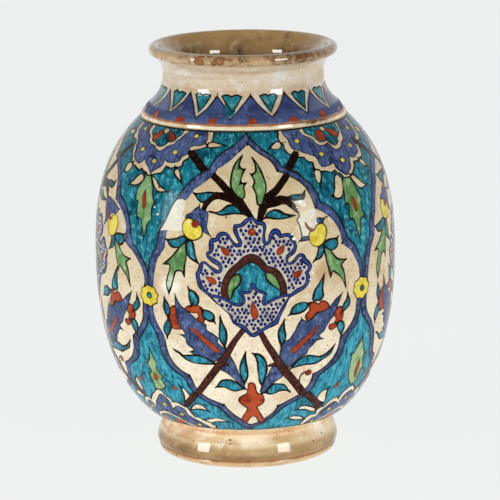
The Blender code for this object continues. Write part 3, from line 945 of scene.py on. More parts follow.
        (2.9, 36.3), (2.1, 33.7), (-0.5, 31.6), (-3, 30.2, 1), (-1.8, 27.1), (0.9, 22), (4.6, 15.1, 1),
        (4.4, 12.6), (1.9, 11.5), (-0.5, 13.1, 1), (-2.5, 17), (-4.4, 19.5), (-6.6, 20), (-8.9, 17.7),
        (-11.1, 13.3, 1), (-12.4, 12.1), (-14.6, 13.3), (-16.6, 16.2, 1), (-14.8, 21), (-11.8, 26.9),
        (-11.3, 29.2, 1), (-13.7, 30.6), (-16.7, 33.3), (-18.3, 36.3), (-17.6, 38.9), (-15.3, 41),
        (-12.7, 42.4), (-11.1, 44.6), (-10.7, 48.2), (-10.1, 50.9), (-8.7, 52.1),
    ],
    # painted highlight and painted glints: more of the lamp's reflection and small white glints on the glaze
    glare=[
        (25.1, 183.1, 1), (28.7, 183.3), (32.1, 183.5), (34.3, 182.6, 1), (34.8, 179.9), (33, 178),
        (31.1, 178.8), (29.3, 180.7), (26.5, 181.7),
    ],
    sparks=[
        (30.4, 182, 1.7), (33.6, 179.4, 0.9), (23.3, 157, 1.4), (21.9, 160.4, 0.8), (-52.3, 169.5, 1.1),
        (-78.7, 172.2, 1.1), (-82.1, 176.8, 0.7), (-64.9, 110.3, 0.9), (-70.3, 129, 0.9),
        (-58.2, 130.1, 0.8), (36.7, 132.1, 0.8), (34.7, 127.3, 0.7), (27.2, 178.6, 0.6), (28.2, 176.6, 0.5),
    ],
)

# The next medallion round the vase repeats the drawing, its border drawn in and its flowers moved a little
nextMedallion = dict(
    left=84.0,
    aside=4.5,
    drawnIn=(
        dict(side=-1, beyond=45, by=8, at=72, reach=14),
        dict(side=1, beyond=55, by=3.4, at=148, reach=9),
    ),
)


def oval(x, y, wide, tall, count=8):
    angles = np.linspace(0, 2 * math.pi, count, endpoint=False)
    return [(x + wide * math.cos(a), y + tall * math.sin(a)) for a in angles]


def drop(a, b, width):
    # a brushed drop, pointed at a and round at b
    a, b = np.array(a, float), np.array(b, float)
    side = np.array([-(b - a)[1], (b - a)[0]]) / np.hypot(*(b - a)) * width / 2
    ring = [(0.3, 0.62), (0.62, 1.0), (0.9, 0.66), (1.0, 0.0), (0.9, -0.66), (0.62, -1.0), (0.3, -0.62)]
    return [(*a, 1)] + [tuple(a + (b - a) * along + side * out) for along, out in ring]


def slab(left, right, bottom, top):
    return [(left, bottom, 1), (right, bottom, 1), (right, top, 1), (left, top, 1)]


def drawnIn(rim):
    shaped = []
    for x, y, *corner in rim:
        for push in nextMedallion["drawnIn"]:
            if x * push["side"] > push["beyond"]:
                x -= push["side"] * push["by"] * math.exp(-(((y - push["at"]) / push["reach"]) ** 2))
        shaped.append((x, y, *corner))
    return shaped


def drawMedallion(c, front=False):
    m = medallion
    ink, hook = m["ink"], brush["hook"]
    for line, widths in m["outsideStems"]:
        c.stroke("branch", line, widths, 0.3)
    for line, widths in m["lowerOutside"]:
        count = len(line) if front else 2
        c.stroke("stem", line[:count], widths[:count], 0.6)
    outer, inner = (m[rim] if front else drawnIn(m[rim]) for rim in ("rimOuter", "rimInner"))
    c.fill("cobalt", outer, ink * 0.8)
    c.fill("bare", inner)
    for first, last in m["innerLines"]:
        c.stroke("outline", inner[first:last], 0.95)
    c.hooks(c.placed(inner), ink, 0.8, -0.85)
    # painted highlight: the left lamp's reflection on the shoulder, laid over the blue border
    if front:
        c.fill("worn", m["wornRim"])
    for line, widths in m["darkBranches"]:
        c.stroke("branch", line, widths)
    c.fillEach("green", m["topLeaves"], ink * 0.85, hook * 0.6)
    aside = 0.0 if front else nextMedallion["aside"]
    c.shift += aside
    for part in (m["leftFeather"], m["rightFeather"]):
        c.fillEach("red", part["collars"], ink * 0.6)
        c.fill("bare", oval(*part["glint"]))
        c.fill("cobalt", part["tail"], 0.7, hook=hook)
        c.fill("cobalt", part["blade"], 0.75, hook=hook * 0.7)
        c.stroke("red", *part["stripe"], 0.3)
    c.fillEach("turquoise", m["featherLeaves"], ink, hook)
    c.shift -= aside
    c.fillEach("turquoise", m["leaflets"], ink, hook)
    for line, widths in m["twigs"] + m["lowerStems"]:
        c.stroke("stem", line, widths, 0.65)
    for side in ("leftBulb", "rightBulb"):
        part = m[side]
        c.fill("green", part["leaf"], ink * 0.9, hook=hook * 0.6)
        c.fillEach("turquoise", part["sepals"], ink, hook)
        # painted highlight: the right lamp's reflection laid over the right cap, with its edge line and left
        # parts showing round it
        if front and side == "rightBulb":
            c.fill("worn", m["wornCap"])
            c.stroke("outline", m["wornLine"], 0.9)
            c.fillEach("cobalt", m["capLeft"], 0.7, hook * 0.6)
        else:
            c.fill("cobalt", part["cap"], 0.5, hook=hook * 0.7)
        c.fill("yellow", part["fruit"], ink * 0.6)
        if side == "rightBulb":
            c.stroke("red", *m["tongue"], 0.3)
        else:
            c.fill("red", oval(*part["berry"]), 0.4)
            c.fill("branch", oval(*part["berry"][:2], 0.6, 0.6, 6))
    # the blue border has dark lines on both sides
    edge = c.fill("pale", m["palmette"], m["palmetteInk"], "navy")
    c.draw("cobaltInk", edge, m["palmetteInk"] * 0.45, True)
    c.fill("turquoise", m["arch"] + m["archFloor"])
    c.fillEach("green", m["archLeaves"], ink * 0.9)
    widths = [m["archWidth"] + 1.5 * math.exp(-(((x + 7) / 6) ** 2)) for x, y in m["arch"]]
    c.stroke("stem", m["arch"], widths, 0.85)
    crownEdge = m["crown"][:-3]
    c.fill("pale", m["crown"])
    c.stroke("navy", crownEdge, m["crownInk"])
    c.stroke("cobaltInk", crownEdge, m["crownInk"] * 0.45)
    c.fillEach("red", [drop(*spot) for spot in m["palmetteSpots"]], 0.4)
    c.fill("red", oval(*m["palmetteEye"]), 0.4)
    c.fill("red", m["standing"], 0.75)
    c.stroke("outline", m["budStem"], 1.2)
    c.fill("red", oval(*m["bud"]), 0.6)
    # painted highlights: more of the lamp's reflection and small glints on the glaze
    if front:
        c.fill("worn", m["glare"])
        c.fillEach("spark", [oval(x, y, size, size * 0.8, 6) for x, y, size in m["sparks"]])


# The turquoise fields between the medallions: half lotuses above and below, a serrated leaf on each
fieldLeft = dict(
    upperCream=[
        (-42, 239, 1), (-41.8, 235), (-41.3, 230.9), (-42, 227.8, 1), (-44.6, 226.6), (-46.4, 223.8, 1),
        (-50.8, 222.2), (-56.5, 220.4), (-59.9, 219.6, 1), (-59.2, 216.9), (-60.6, 213.6, 1),
        (-63.9, 211.6), (-64.2, 208.4, 1), (-67.9, 206.9), (-70.9, 207.3, 1), (-74.2, 205.9),
        (-79.5, 206.9, 1), (-81, 203.4), (-83.2, 201.1, 1), (-87, 200.2), (-89.9, 199.7, 1), (-92.5, 197.4),
        (-95.8, 197.7, 1), (-97.3, 199.7), (-101.7, 200.6), (-104.3, 202.1, 1), (-107, 200.6),
        (-111.4, 201.9, 1), (-113.9, 203.2), (-119.9, 204), (-121.6, 206.2), (-122.5, 208.1, 1),
        (-124.4, 209.9), (-127.5, 213, 1), (-130, 217.4), (-130.5, 220, 1), (-134, 222), (-140, 222),
        (-144.5, 224.5), (-144, 227, 1), (-147, 229), (-149, 232.5), (-149, 239, 1),
    ],
    upperBlue=[
        (-50.5, 239, 1), (-47.5, 233.5), (-47.1, 229.8), (-48.3, 226.5), (-52.6, 224.5), (-58.1, 224.2),
        (-61.4, 222.7, 1), (-62, 220), (-62.5, 216.9), (-66.8, 215.2, 1), (-67.9, 212.3), (-70.5, 210.7),
        (-75.5, 210), (-80.3, 210.4), (-83.1, 211.9, 1), (-82.9, 209.4), (-84, 206.4), (-88.5, 203.6),
        (-93.2, 200.3, 1), (-97.5, 204), (-102.4, 206.8), (-105.3, 209.5, 1), (-107.5, 207.2),
        (-110.3, 205.7), (-114.6, 206.5), (-119.7, 208.8), (-122.8, 211.3), (-124.3, 214.7),
        (-127, 217.3, 1), (-128, 220.3), (-133, 224), (-137.5, 226.5), (-141.5, 229.5), (-142.5, 233),
        (-144, 239, 1),
    ],
    upperDots=[(-59.1, 231.8), (-75.1, 218), (-93.7, 209.3), (-114.2, 216.1), (-131, 231.5)],
    upperBand=[
        (-68.5, 239, 1), (-69.3, 235.1), (-72, 233), (-75.9, 228), (-78.4, 226.7), (-79.4, 224.1, 1),
        (-83.7, 222.8), (-87, 221.1), (-88.8, 219.1, 1), (-92, 217.5), (-97.6, 218.7), (-101.8, 220.9, 1),
        (-107.2, 221.6), (-112.1, 223.8, 1), (-113.5, 226.5), (-119.9, 229.1, 1), (-121.9, 231.8),
        (-122.5, 239, 1),
    ],
    upperInside=[
        (-74, 239, 1), (-75.2, 234.7), (-76.2, 231.8), (-79, 229.7), (-80.1, 227.2), (-82.9, 225.6),
        (-86.9, 225.6, 1), (-88.3, 223.7), (-90.9, 221.6), (-94.5, 220.8), (-98.3, 221.3),
        (-102.3, 223.1, 1), (-107.2, 224), (-110.1, 227.4, 1), (-114.8, 229.7), (-116.7, 232.5),
        (-116, 239, 1),
    ],
    upperPetals=[
        [(-89, 229.2), (-92.3, 232.3), (-90.7, 233.9), (-84.1, 231.1), (-80.9, 228.6), (-81.8, 226.8),
         (-84.5, 226.4), (-88, 227)],
        [(-108.4, 225.7), (-111, 228.3), (-107.7, 230.2), (-104.6, 232.9), (-101.1, 233.1), (-99.4, 230.6),
         (-101.7, 227.4), (-103.5, 224.8), (-106.2, 224.5)],
    ],
    upperHeart=[
        (-97.9, 228.3), (-94.1, 229.2), (-90.4, 227.1), (-89.6, 224.6), (-91.6, 222.7), (-95.8, 222.3),
        (-99.4, 223.4), (-100, 225.4),
    ],
    moon=(-96.7, 233.8, 3.5, 2.3),
    upperSprigs=[
        [(-99.5, 198.7, 1), (-104, 197.8), (-108, 194.3), (-113.5, 189.5, 1), (-106, 189.6), (-102, 191.3),
         (-98.5, 195)],
        [(-91.5, 199, 1), (-86, 196.2), (-81, 192.4), (-72.5, 189, 1), (-80, 188), (-84.3, 189.7),
         (-88.5, 194)],
        [(-70.5, 206.5, 1), (-66, 204.8), (-63.6, 201), (-61.5, 196.5, 1), (-66, 199.3), (-70, 202.5)],
        [(-127, 197.5, 1), (-125, 203.5), (-118.5, 205.5, 1), (-118, 201), (-122, 197.2)],
        [(-46.5, 226, 1), (-43, 227.8), (-38, 227.8), (-29.5, 225.5, 1), (-38, 224), (-45, 223.8)],
        [(-146, 226, 1), (-150, 227.6), (-155, 227.4), (-161.5, 225.3, 1), (-154, 223.8), (-147.5, 223.8)],
    ],
    upperLeaf=[
        (-97, 198.5, 1), (-98, 195), (-101, 190), (-102.5, 185), (-102, 179.5, 1), (-99.5, 179), (-99, 174),
        (-98, 167.5, 1), (-94, 168), (-92.5, 164), (-90, 154.5, 1), (-88.5, 159), (-87.5, 164),
        (-83.5, 168, 1), (-84.5, 172), (-84, 178), (-82, 180, 1), (-84.5, 183), (-86.5, 188), (-89, 193),
        (-91.5, 198.5, 1),
    ],
    upperHeartwood=[(-93.5, 188), (-91.2, 183), (-90.6, 178.5), (-92, 174.6), (-94.5, 179), (-95.3, 183)],
    rosette=(-84.8, 113.8, 8.3, 7.9),
    eye=(-84.6, 114, 2.1, 2.0),
    lowerLeaf=[
        (-89.7, 73.6, 1), (-86.9, 65.6), (-84.9, 61.9, 1), (-86.6, 57.6), (-82.3, 51.8, 1), (-84.3, 49.3),
        (-82, 44.2), (-88.2, 39.9), (-94.5, 40.5), (-94.9, 47), (-97, 51.6, 1), (-93, 55.8), (-96, 61.3, 1),
        (-91.8, 64.8),
    ],
    lowerHeartwood=[(-90.5, 53.5), (-87.9, 51.8), (-88.1, 49), (-91.1, 47.3), (-91.6, 50.5)],
    buds=[(-72.5, 44, 2.1, 1.9), (-109.5, 45.5, 2.1, 2.0)],
    lowerSprigs=[
        [(-66.7, 45.8, 1), (-64.1, 43.9), (-61.7, 40.7), (-60.4, 36.8), (-66.1, 29.8, 1), (-67.1, 32.2),
         (-65.6, 37.7)],
        [(-64.2, 23.6, 1), (-61.4, 27.4), (-57.6, 30.2), (-53.3, 30.6), (-50, 29.3), (-46.3, 24.5, 1),
         (-53.6, 25.7)],
        [(-54.5, 13.2, 1), (-48, 15.5), (-42, 17), (-36, 16.4), (-29.5, 13.3, 1), (-36, 12.8), (-42, 12.6),
         (-47, 10.5)],
        [(-116, 46, 1), (-119, 44), (-120.5, 40), (-118, 35), (-114.5, 31.5, 1), (-113.5, 37), (-115, 42)],
        [(-117.5, 27.5, 1), (-122, 30.6), (-128, 31), (-133, 28.6), (-136, 25.8, 1), (-130, 26),
         (-123.5, 25.3)],
        [(-130.5, 13.2, 1), (-137, 15.5), (-143, 16.8), (-149, 16), (-154.5, 13.3, 1), (-148, 12.8),
         (-142, 12.6), (-137, 10.5)],
    ],
    lowerCream=[
        (-44.5, -3, 1), (-45.4, 1.4), (-43.6, 7.7, 1), (-47, 7.6), (-47.9, 11.6), (-52.7, 11.9, 1),
        (-57.3, 15), (-63, 15.8, 1), (-64.4, 20.7), (-66.4, 25.7, 1), (-70.2, 27.2), (-73.7, 29.5),
        (-77.4, 30.3), (-80.7, 28.9, 1), (-81.4, 32.7), (-85.4, 34.7, 1), (-87.6, 37.7), (-90.2, 39.4),
        (-94.5, 38.9), (-98.6, 35, 1), (-100.9, 34.2), (-105, 31), (-109.4, 26.6, 1), (-112.4, 28.2),
        (-116.5, 28.6), (-120, 27), (-124.4, 22, 1), (-127, 14.8), (-131, 12.5), (-134, 9), (-136, 4),
        (-137, -3, 1),
    ],
    lowerBlue=[
        (-49.5, -3, 1), (-51.2, 0.6), (-53, 4.9), (-57.1, 8.5), (-61.2, 11.6), (-64.7, 13.9), (-67.6, 16.2),
        (-69.9, 18, 1), (-70.1, 22.2), (-72, 24.8), (-75, 26.1), (-79.2, 25.1), (-82.4, 22.8),
        (-84.5, 20, 1), (-84.3, 26), (-84.6, 29.7), (-86.6, 32.7), (-89.2, 34.7), (-92.5, 34.7), (-97, 31),
        (-102.5, 26.2), (-109.6, 18.2, 1), (-110.3, 22), (-112.5, 24), (-116.9, 24), (-121.5, 20, 1),
        (-126, 12), (-130, 9), (-132, 5), (-133, -3, 1),
    ],
    lowerDots=[(-93, 24.4), (-77.1, 16.9), (-62.9, 5.6), (-115.5, 18.2), (-127, 6)],
    lowerBand=[
        (-64, -3, 1), (-66.3, 2.7), (-75.2, 5.8), (-80.7, 9.6), (-86.9, 12.8), (-94.7, 15.8),
        (-102.7, 15.6), (-110, 13), (-114.6, 10.6), (-118, 5), (-119, -3, 1),
    ],
    lowerInside=[
        (-70, -3, 1), (-76.5, 3), (-82, 7), (-88, 10.2), (-94.8, 12.8), (-102.5, 12.6), (-109, 10.6),
        (-113.5, 7.8), (-115.5, 4), (-116, -3, 1),
    ],
    lowerPetals=[
        [(-91.3, 8.3), (-84.6, 8.8), (-80.6, 6.2), (-82, 3.6), (-91, 1.6), (-94.1, 4.2)],
        [(-108.6, 9.6), (-101.6, 10.9), (-97, 9.8), (-98.4, 7.1), (-107.6, 5), (-112, 6.2)],
    ],
    lowerHeart=[(-100.5, 11.2), (-94.4, 11.6), (-90.2, 9.3), (-95, 6.4), (-99.5, 6.6)],
)

fieldRight = dict(
    upperCream=[
        (22, 239, 1), (22.8, 234.7), (21.7, 231.4), (22, 228.2), (25.5, 224.4, 1), (25.2, 221.7),
        (26.9, 218.6), (30, 216.5), (33.8, 215.7, 1), (36.5, 214), (41, 213.5, 1), (42.2, 211.3),
        (44.9, 209.8), (48.2, 208.7, 1), (47.5, 205.4), (49.7, 202.7), (53.5, 201.5), (59, 201.3, 1),
        (62.7, 200.2), (67.3, 201.5, 1), (68.6, 199.2), (72.1, 197.5, 1), (73.6, 195.2), (76.8, 192.8),
        (80.2, 192.7), (83.8, 195.7, 1), (87.2, 197.9), (90.8, 200.7), (92.4, 204.2, 1), (97.7, 203.9),
        (102.7, 204.9), (108.4, 206.6), (110.5, 209.5), (111.5, 213.5, 1), (114, 215.5), (118, 217, 1),
        (122.5, 217.5), (126.5, 220), (128, 224, 1), (131, 227), (133, 231), (132.5, 239, 1),
    ],
    upperBlue=[
        (28, 239, 1), (27.4, 234.6), (28, 232.5), (30.7, 229.3), (31.3, 226.3), (31.3, 223.5),
        (33.4, 220.3), (36.8, 219.6), (42.3, 216.9, 1), (47.1, 215.2), (51.8, 213), (53.5, 210.7),
        (53.7, 207.3), (55.4, 204.9), (60.8, 205.2), (64.6, 205.8), (68.5, 207, 1), (69, 203),
        (71.5, 200.1), (75.1, 197.3), (78.4, 195.8, 1), (81.1, 197.9), (86.1, 200.9), (87.5, 203.7),
        (89.9, 209, 1), (94.4, 207), (101.5, 208.6), (106.5, 210.9), (108, 214, 1), (110, 217.5),
        (113.5, 219.5), (117.5, 220.5, 1), (121.5, 221.5), (124, 224.5), (125.5, 228, 1), (128, 231),
        (127, 239, 1),
    ],
    upperDots=[(39.6, 226.5), (59.3, 214.3), (79.7, 207.4), (99.3, 216.2), (115, 229)],
    upperBand=[
        (45, 239, 1), (46.5, 236.3), (46.8, 233.5), (49.2, 230.4), (54.2, 228), (56.9, 226.3, 1),
        (57.4, 224), (61.3, 221.2), (66.5, 221.1), (71.5, 222.2, 1), (73.8, 219.8), (75.7, 216.8),
        (80.6, 215.7), (86, 217.2), (90.1, 220.3), (95.4, 222.4, 1), (97.4, 226), (100.3, 230.5),
        (103.7, 235), (105, 239, 1),
    ],
    upperInside=[
        (51, 239, 1), (51.6, 235.8), (51.9, 232.5), (56.6, 229.7), (60, 227.9, 1), (60.6, 225.9),
        (63.1, 223.8), (68.4, 223.6), (72.1, 224.6, 1), (74.2, 222), (76.7, 219.7), (80.8, 219.3),
        (85.5, 221.4), (88.1, 224.4), (95.1, 228.3), (98.8, 233.6), (100, 239, 1),
    ],
    upperPetals=[
        [(62.3, 230), (64.9, 233.1), (69.1, 233.6), (72.6, 231.6), (73.2, 228.3), (71.1, 225.4),
         (66.2, 224.4), (63, 226.4)],
        [(79.1, 232.4), (84.3, 233.2), (89, 231.1), (92.4, 227.8), (91.2, 225.7), (86.8, 225.3),
         (82.3, 227.3), (79.6, 229.9)],
    ],
    upperHeart=[
        (74, 226.7), (78.7, 227.6), (82.4, 225.5), (84, 222.3), (82.1, 220.6), (77.6, 221.2), (74.2, 223.4),
    ],
    moon=(75.4, 233.9, 3.5, 2.2),
    upperSprigs=[
        [(66, 199, 1), (70.8, 194.5), (70, 188), (67.5, 182.5), (63, 180.8), (58, 183.5, 1), (62, 188.5),
         (63.3, 193)],
        [(81.5, 196.3, 1), (86, 195), (90, 191.4), (94, 188), (98.6, 186.3, 1), (92, 184.6), (88, 185.5),
         (84.7, 189.3), (82.2, 193)],
        [(46.5, 204, 1), (52.3, 202.3), (51.8, 197), (49, 192, 1), (46.7, 196)],
        [(100.5, 205.3, 1), (106, 203.3), (109.6, 198, 1), (105, 198.6), (101.6, 201.6)],
        [(11.3, 222.3, 1), (16, 226.2), (20, 227.8), (24.3, 226, 1), (22, 222.7), (17, 221.4)],
        [(143, 222.6, 1), (138.5, 226), (134, 227.6), (130.3, 225.6, 1), (133, 222.6), (138, 221.5)],
    ],
    upperLeaf=[
        (73, 194.5, 1), (70.5, 190), (70, 184), (69, 178), (69.5, 175.5, 1), (72, 177), (72, 171),
        (71, 165, 1), (75, 165), (77, 160), (80, 150, 1), (82, 157), (83.5, 164), (88, 165, 1), (86.5, 169),
        (86, 174), (87.5, 178, 1), (85.5, 182), (84, 187), (82, 191), (80.5, 194.5, 1),
    ],
    upperHeartwood=[
        (77, 181.5), (79, 179), (81, 174), (80.5, 170), (78.5, 170.5), (77, 175.5), (76, 179.5),
    ],
    rosette=(81.3, 114.5, 8.9, 8.4),
    eye=(82, 114.2, 2.1, 2.0),
    lowerLeaf=[
        (87.2, 76.8, 1), (90.6, 68.8), (96, 61.8, 1), (93.9, 60), (98.2, 51.9, 1), (96.2, 48.1), (96, 43.8),
        (94, 38.4), (88.6, 37.4), (81.7, 45.1), (78.6, 52.9), (78.7, 59.6), (77.5, 64.6, 1), (81, 65.8),
        (83.7, 70.4),
    ],
    lowerHeartwood=[(89.6, 59), (91.5, 53.6), (91.6, 47.4), (91.4, 42.4), (88.8, 45.6), (87.4, 52)],
    buds=[(69, 41, 2.5, 2.3), (106, 44, 2.3, 2.1)],
    lowerSprigs=[
        [(60.8, 39.9, 1), (60.5, 34.7), (61.9, 29.1), (61, 25.4, 1), (51.6, 32.1), (52.2, 35.7),
         (54.7, 38.3)],
        [(34.1, 23.6, 1), (37.1, 26.3), (42.5, 26.6), (49.2, 24.3), (56.7, 20.5, 1), (54.6, 18.5),
         (43, 22.4)],
        [(27, 15.3, 1), (33, 16.6), (39, 15.8), (43.5, 14), (47.5, 10.5, 1), (41, 11), (34, 12.5)],
        [(115, 46, 1), (118, 44), (119.5, 40), (117, 35), (113.5, 31.5, 1), (112.5, 37), (114, 42)],
        [(116, 27.5, 1), (121, 30.6), (127, 31), (132, 28.6), (135, 25.8, 1), (129, 26), (122.5, 25.3)],
        [(128.5, 13.2, 1), (135, 15.5), (141, 16.8), (147, 16), (152.5, 13.3, 1), (146, 12.8), (140, 12.6),
         (135, 10.5)],
    ],
    lowerCream=[
        (45, -3, 1), (47.1, 4.9), (48, 9.7), (50.5, 13.4), (55.1, 14.6), (58.6, 14.2, 1), (57.5, 18.5),
        (58.6, 21, 1), (61, 21.9), (64, 21.6, 1), (65.7, 24.2), (69.2, 27.1), (73.8, 28.4), (77.6, 28.2),
        (81, 25.2, 1), (81, 28.4), (82.7, 31.5), (87, 34), (90.7, 35.5), (94.8, 35.4), (100.6, 31.4, 1),
        (106.5, 30), (110, 31.2), (114, 28, 1), (115.5, 20.5), (118.5, 17), (123, 15.5, 1), (127, 12.5),
        (130, 8), (132, -3, 1),
    ],
    lowerBlue=[
        (49, -3, 1), (51.6, 2.4), (54.3, 6.5), (57.6, 10.2), (62.3, 10.6, 1), (62.6, 14), (63.8, 17.6),
        (67.8, 20.2), (71.6, 23), (76.6, 23.9), (82.3, 21.4), (85.6, 18, 1), (85.2, 23.8), (86.8, 27.2),
        (90.5, 29.9), (95.3, 30.8), (101.7, 28.1), (108.6, 24.4), (111.5, 20, 1), (112.5, 17.8),
        (116, 14.3), (121, 12.7, 1), (125, 9.5), (127.5, 5), (128.5, -3, 1),
    ],
    lowerDots=[(93.8, 23.7), (75.1, 16.3), (62, 4.3), (108.5, 17), (120.5, 7)],
    lowerBand=[
        (63, -3, 1), (66, 2), (70.1, 5.7), (79.4, 8.6), (86.4, 13), (94, 14.4), (103.2, 13.2),
        (108.6, 11.2), (112, 5), (113, -3, 1),
    ],
    lowerInside=[
        (68, -3, 1), (72, 3), (80, 5.6), (87, 10), (94, 11.4), (102.5, 10.2), (107, 8), (109, 3),
        (110, -3, 1),
    ],
    lowerPetals=[
        [(80.4, 4), (83.1, 7.4), (87, 8.9), (90.6, 6.4), (89.5, 2.8)],
        [(103, 3), (101, 7.4), (97.5, 8.9), (94.5, 6.3), (97, 2.5)],
    ],
    lowerHeart=[(89.8, 8.4), (92.7, 10.2), (96, 8.8), (95, 6.2), (91.2, 5.8)],
)


def rosette(x, y, wide, tall):
    ring = []
    for i in range(16):
        angle = (i + 0.4) * math.pi / 8
        reach = 1.0 if i % 2 == 0 else 0.88
        ring.append((x + wide * reach * math.cos(angle), y + tall * reach * math.sin(angle)))
    return ring


def drawField(c, f, ink=1.2):
    for part in ("upper", "lower"):
        c.fill("bare", f[part + "Cream"], ink)
        c.fill("cobalt", f[part + "Blue"], 0.55)
        c.fill("bare", f[part + "Band"], 0.6)
        c.fill("turquoise", f[part + "Inside"], 0.7)
        c.fillEach("red", f[part + "Petals"], 0.6)
        c.fill("turquoise", f[part + "Heart"], 0.6)
        c.fillEach("yellow", [oval(x, y, 2.5, 1.8) for x, y in f[part + "Dots"]], 0.4)
    c.fill("bare", oval(*f["moon"]), 0.6)
    c.fillEach("bare", f["upperSprigs"] + f["lowerSprigs"], ink * 0.9, brush["hook"])
    for part, pigment in (("upper", "green"), ("lower", "paleGreen")):
        c.fill(pigment, f[part + "Leaf"], ink * 0.75, hook=brush["hook"] * 0.8)
        c.fill("red", f[part + "Heartwood"], 0.3)
    for x, y, wide, tall in f["buds"]:
        toward = 1 if x > f["lowerLeaf"][0][0] else -1
        c.stroke("outline", [(x, y), (x - 3.5 * toward, y + 3.6), (x - 8 * toward, y + 6.4)], (0.9, 0.8, 0.5))
        tip, foot = (x - 1.1 * toward, y + tall * 1.3), (x + 0.7 * toward, y - tall * 1.1)
        c.fill("red", drop(tip, foot, wide * 1.8), 0.3)


# Two medallions and two fields fill half the vase, closed by dark lines under the bead and above the foot
bodyArt = dict(aside=-9.0, upperLine=(236.7, 1.3), lowerLine=(2.0, 1.1), bareTop=1.6)
girth = outline["belly"][0]
halfTurn = math.pi * girth
bodyLine = bodyOutline(160)
bodyRise = arcLength(bodyLine)[-1]
artLeft = bodyArt["aside"] - halfTurn / 2
artRight = artLeft + halfTurn
body = Cartoon(artLeft, artRight, 0.0, bodyRise, bodyLine, girth)
body.fill("turquoise", slab(artLeft - 9, artRight + 9, -5, 250))
for shift in (-halfTurn, 0, halfTurn):
    body.shift = shift
    drawField(body, fieldLeft)
    drawField(body, fieldRight)
for shift in (-halfTurn, 0):
    # the next medallion is drawn a little wider, to meet its neighbours
    left, right = medallion["left"], medallion["right"]
    body.stretch = (halfTurn + left - nextMedallion["left"]) / (right - left)
    body.shift = nextMedallion["left"] - left * body.stretch + shift
    drawMedallion(body)
body.shift, body.stretch = 0.0, 1.0
drawMedallion(body, True)
for shift in (-halfTurn, 0, halfTurn):
    body.shift = shift
    for f in (fieldLeft, fieldRight):
        body.fill("yellow", rosette(*f["rosette"]), 0.8)
        body.fill("turquoise", oval(*f["eye"]), 0.7)
body.shift = 0.0
ringEnds = (artLeft - 5, artRight + 5)
body.stroke("outline", [(x, bodyArt["upperLine"][0]) for x in ringEnds], bodyArt["upperLine"][1])
body.fill("bare", slab(*ringEnds, -4, bodyArt["bareTop"]))
body.stroke("outline", [(x, bodyArt["lowerLine"][0]) for x in ringEnds], bodyArt["lowerLine"][1])

# Finishes: pigments and slip under one clear gloss glaze
glaze = dict(
    grain=640.0,
    speck=0.25,
    clean=0.0,
    wave=0.35,
    waveDepth=0.0016,
    rough=0.06,
    gloss=0.09,
    ior=1.5,
    dullness=0.5,
    fades=(),
    dull=(),
    extras=(),
)


def brushed(n, spot, colour, look):
    # brush dabs, run along and across the painter's hand
    chart = n.stretched(n.chart(), 0.0, look["chart"])
    dabs = []
    for angle, scale in ((1.0, (0.34, 0.075, 1)), (-0.6, (0.3, 0.085, 1))):
        dabs.append(n.noise(n.stretched(chart, angle, scale), 1.0, 4.0, 0.6, 0.6))
    which = n.grade(n.noise(chart, 0.05, 1.0), 0.42, 0.58)
    dab = n.plus(n.times(dabs[0], which), n.times(dabs[1], n.minus(1.0, which)))
    deep = n.times(n.grade(dab, 0.54, 0.36), look["strokes"])
    thin = n.times(n.grade(dab, 0.55, 0.72), look["strokes"])
    return n.blend(thin, n.blend(deep, colour, look["dark"]), look["light"])


def pooled(n, spot, colour, look):
    # colour gathers along the edge of each painted shape
    depth = n.add("ShaderNodeAttribute", attribute_name="pool").outputs["Fac"]
    tone, width, amount = look["pool"]
    spread = n.times(n.grade(n.noise(spot, 120.0, 2.0), 0.3, 0.7), width)
    edge = n.grade(n.minus(depth, spread), 1.0, -0.6)
    return n.blend(n.times(edge, amount), colour, tone)


def specked(n, spot, colour, look):
    grain = n.noise(spot, look["grain"], 2.0, 0.6)
    speck = n.times(n.grade(grain, 0.52, 0.75), look["speck"])
    return n.blend(speck, colour, look.get("fleck", look["dark"]))


def stained(n, spot, colour, look):
    smear = n.noise(spot, look["stainScale"], 6.0, 0.68, 0.4)
    return n.blend(n.times(n.grade(smear, 0.48, 0.72), look["stainAmount"]), colour, look["stain"])


def marked(n, spot, colour, look):
    for mark in look["extras"]:
        colour = mark(n, spot, colour)
    return colour


def crackled(n, spot, colour, look):
    wobble = n.add("ShaderNodeTexNoise", {"Vector": spot, "Scale": 120.0, "Detail": 2.0})
    bent = n.vector("ADD", spot, n.scaled(wobble.outputs["Color"], 0.006))
    cells = n.add("ShaderNodeTexVoronoi", {"Vector": bent, "Scale": 85.0}, feature="DISTANCE_TO_EDGE")
    line = n.times(n.grade(cells.outputs["Distance"], 0.022, 0.004), look["crackle"])
    return n.blend(line, colour, look["stain"])


def pitted(n, spot, colour, look):
    pores = n.add("ShaderNodeTexVoronoi", {"Vector": spot, "Scale": 150.0, "Randomness": 1.0}).outputs
    chosen = n.calc("LESS_THAN", n.apart(pores["Color"])[0], look["pits"])
    return n.blend(n.times(n.grade(pores["Distance"], 0.17, 0.08), chosen), colour, (45, 28, 18))


def freckled(n, spot, colour, look):
    seeds = n.add("ShaderNodeTexVoronoi", {"Vector": spot, "Scale": 430.0, "Randomness": 1.0}).outputs
    size = n.times(n.grade(n.apart(seeds["Color"])[1], look["freckles"], 0.0, "LINEAR"), 0.34)
    mark = n.grade(n.minus(size, seeds["Distance"]), 0.0, 0.1)
    return n.blend(n.times(mark, 0.65), colour, (118, 82, 46))


# what is laid over the ground colour, in this order, where a finish asks for it
layers = dict(
    strokes=brushed,
    pool=pooled,
    speck=specked,
    stain=stained,
    extras=marked,
    crackle=crackled,
    pits=pitted,
    freckles=freckled,
)


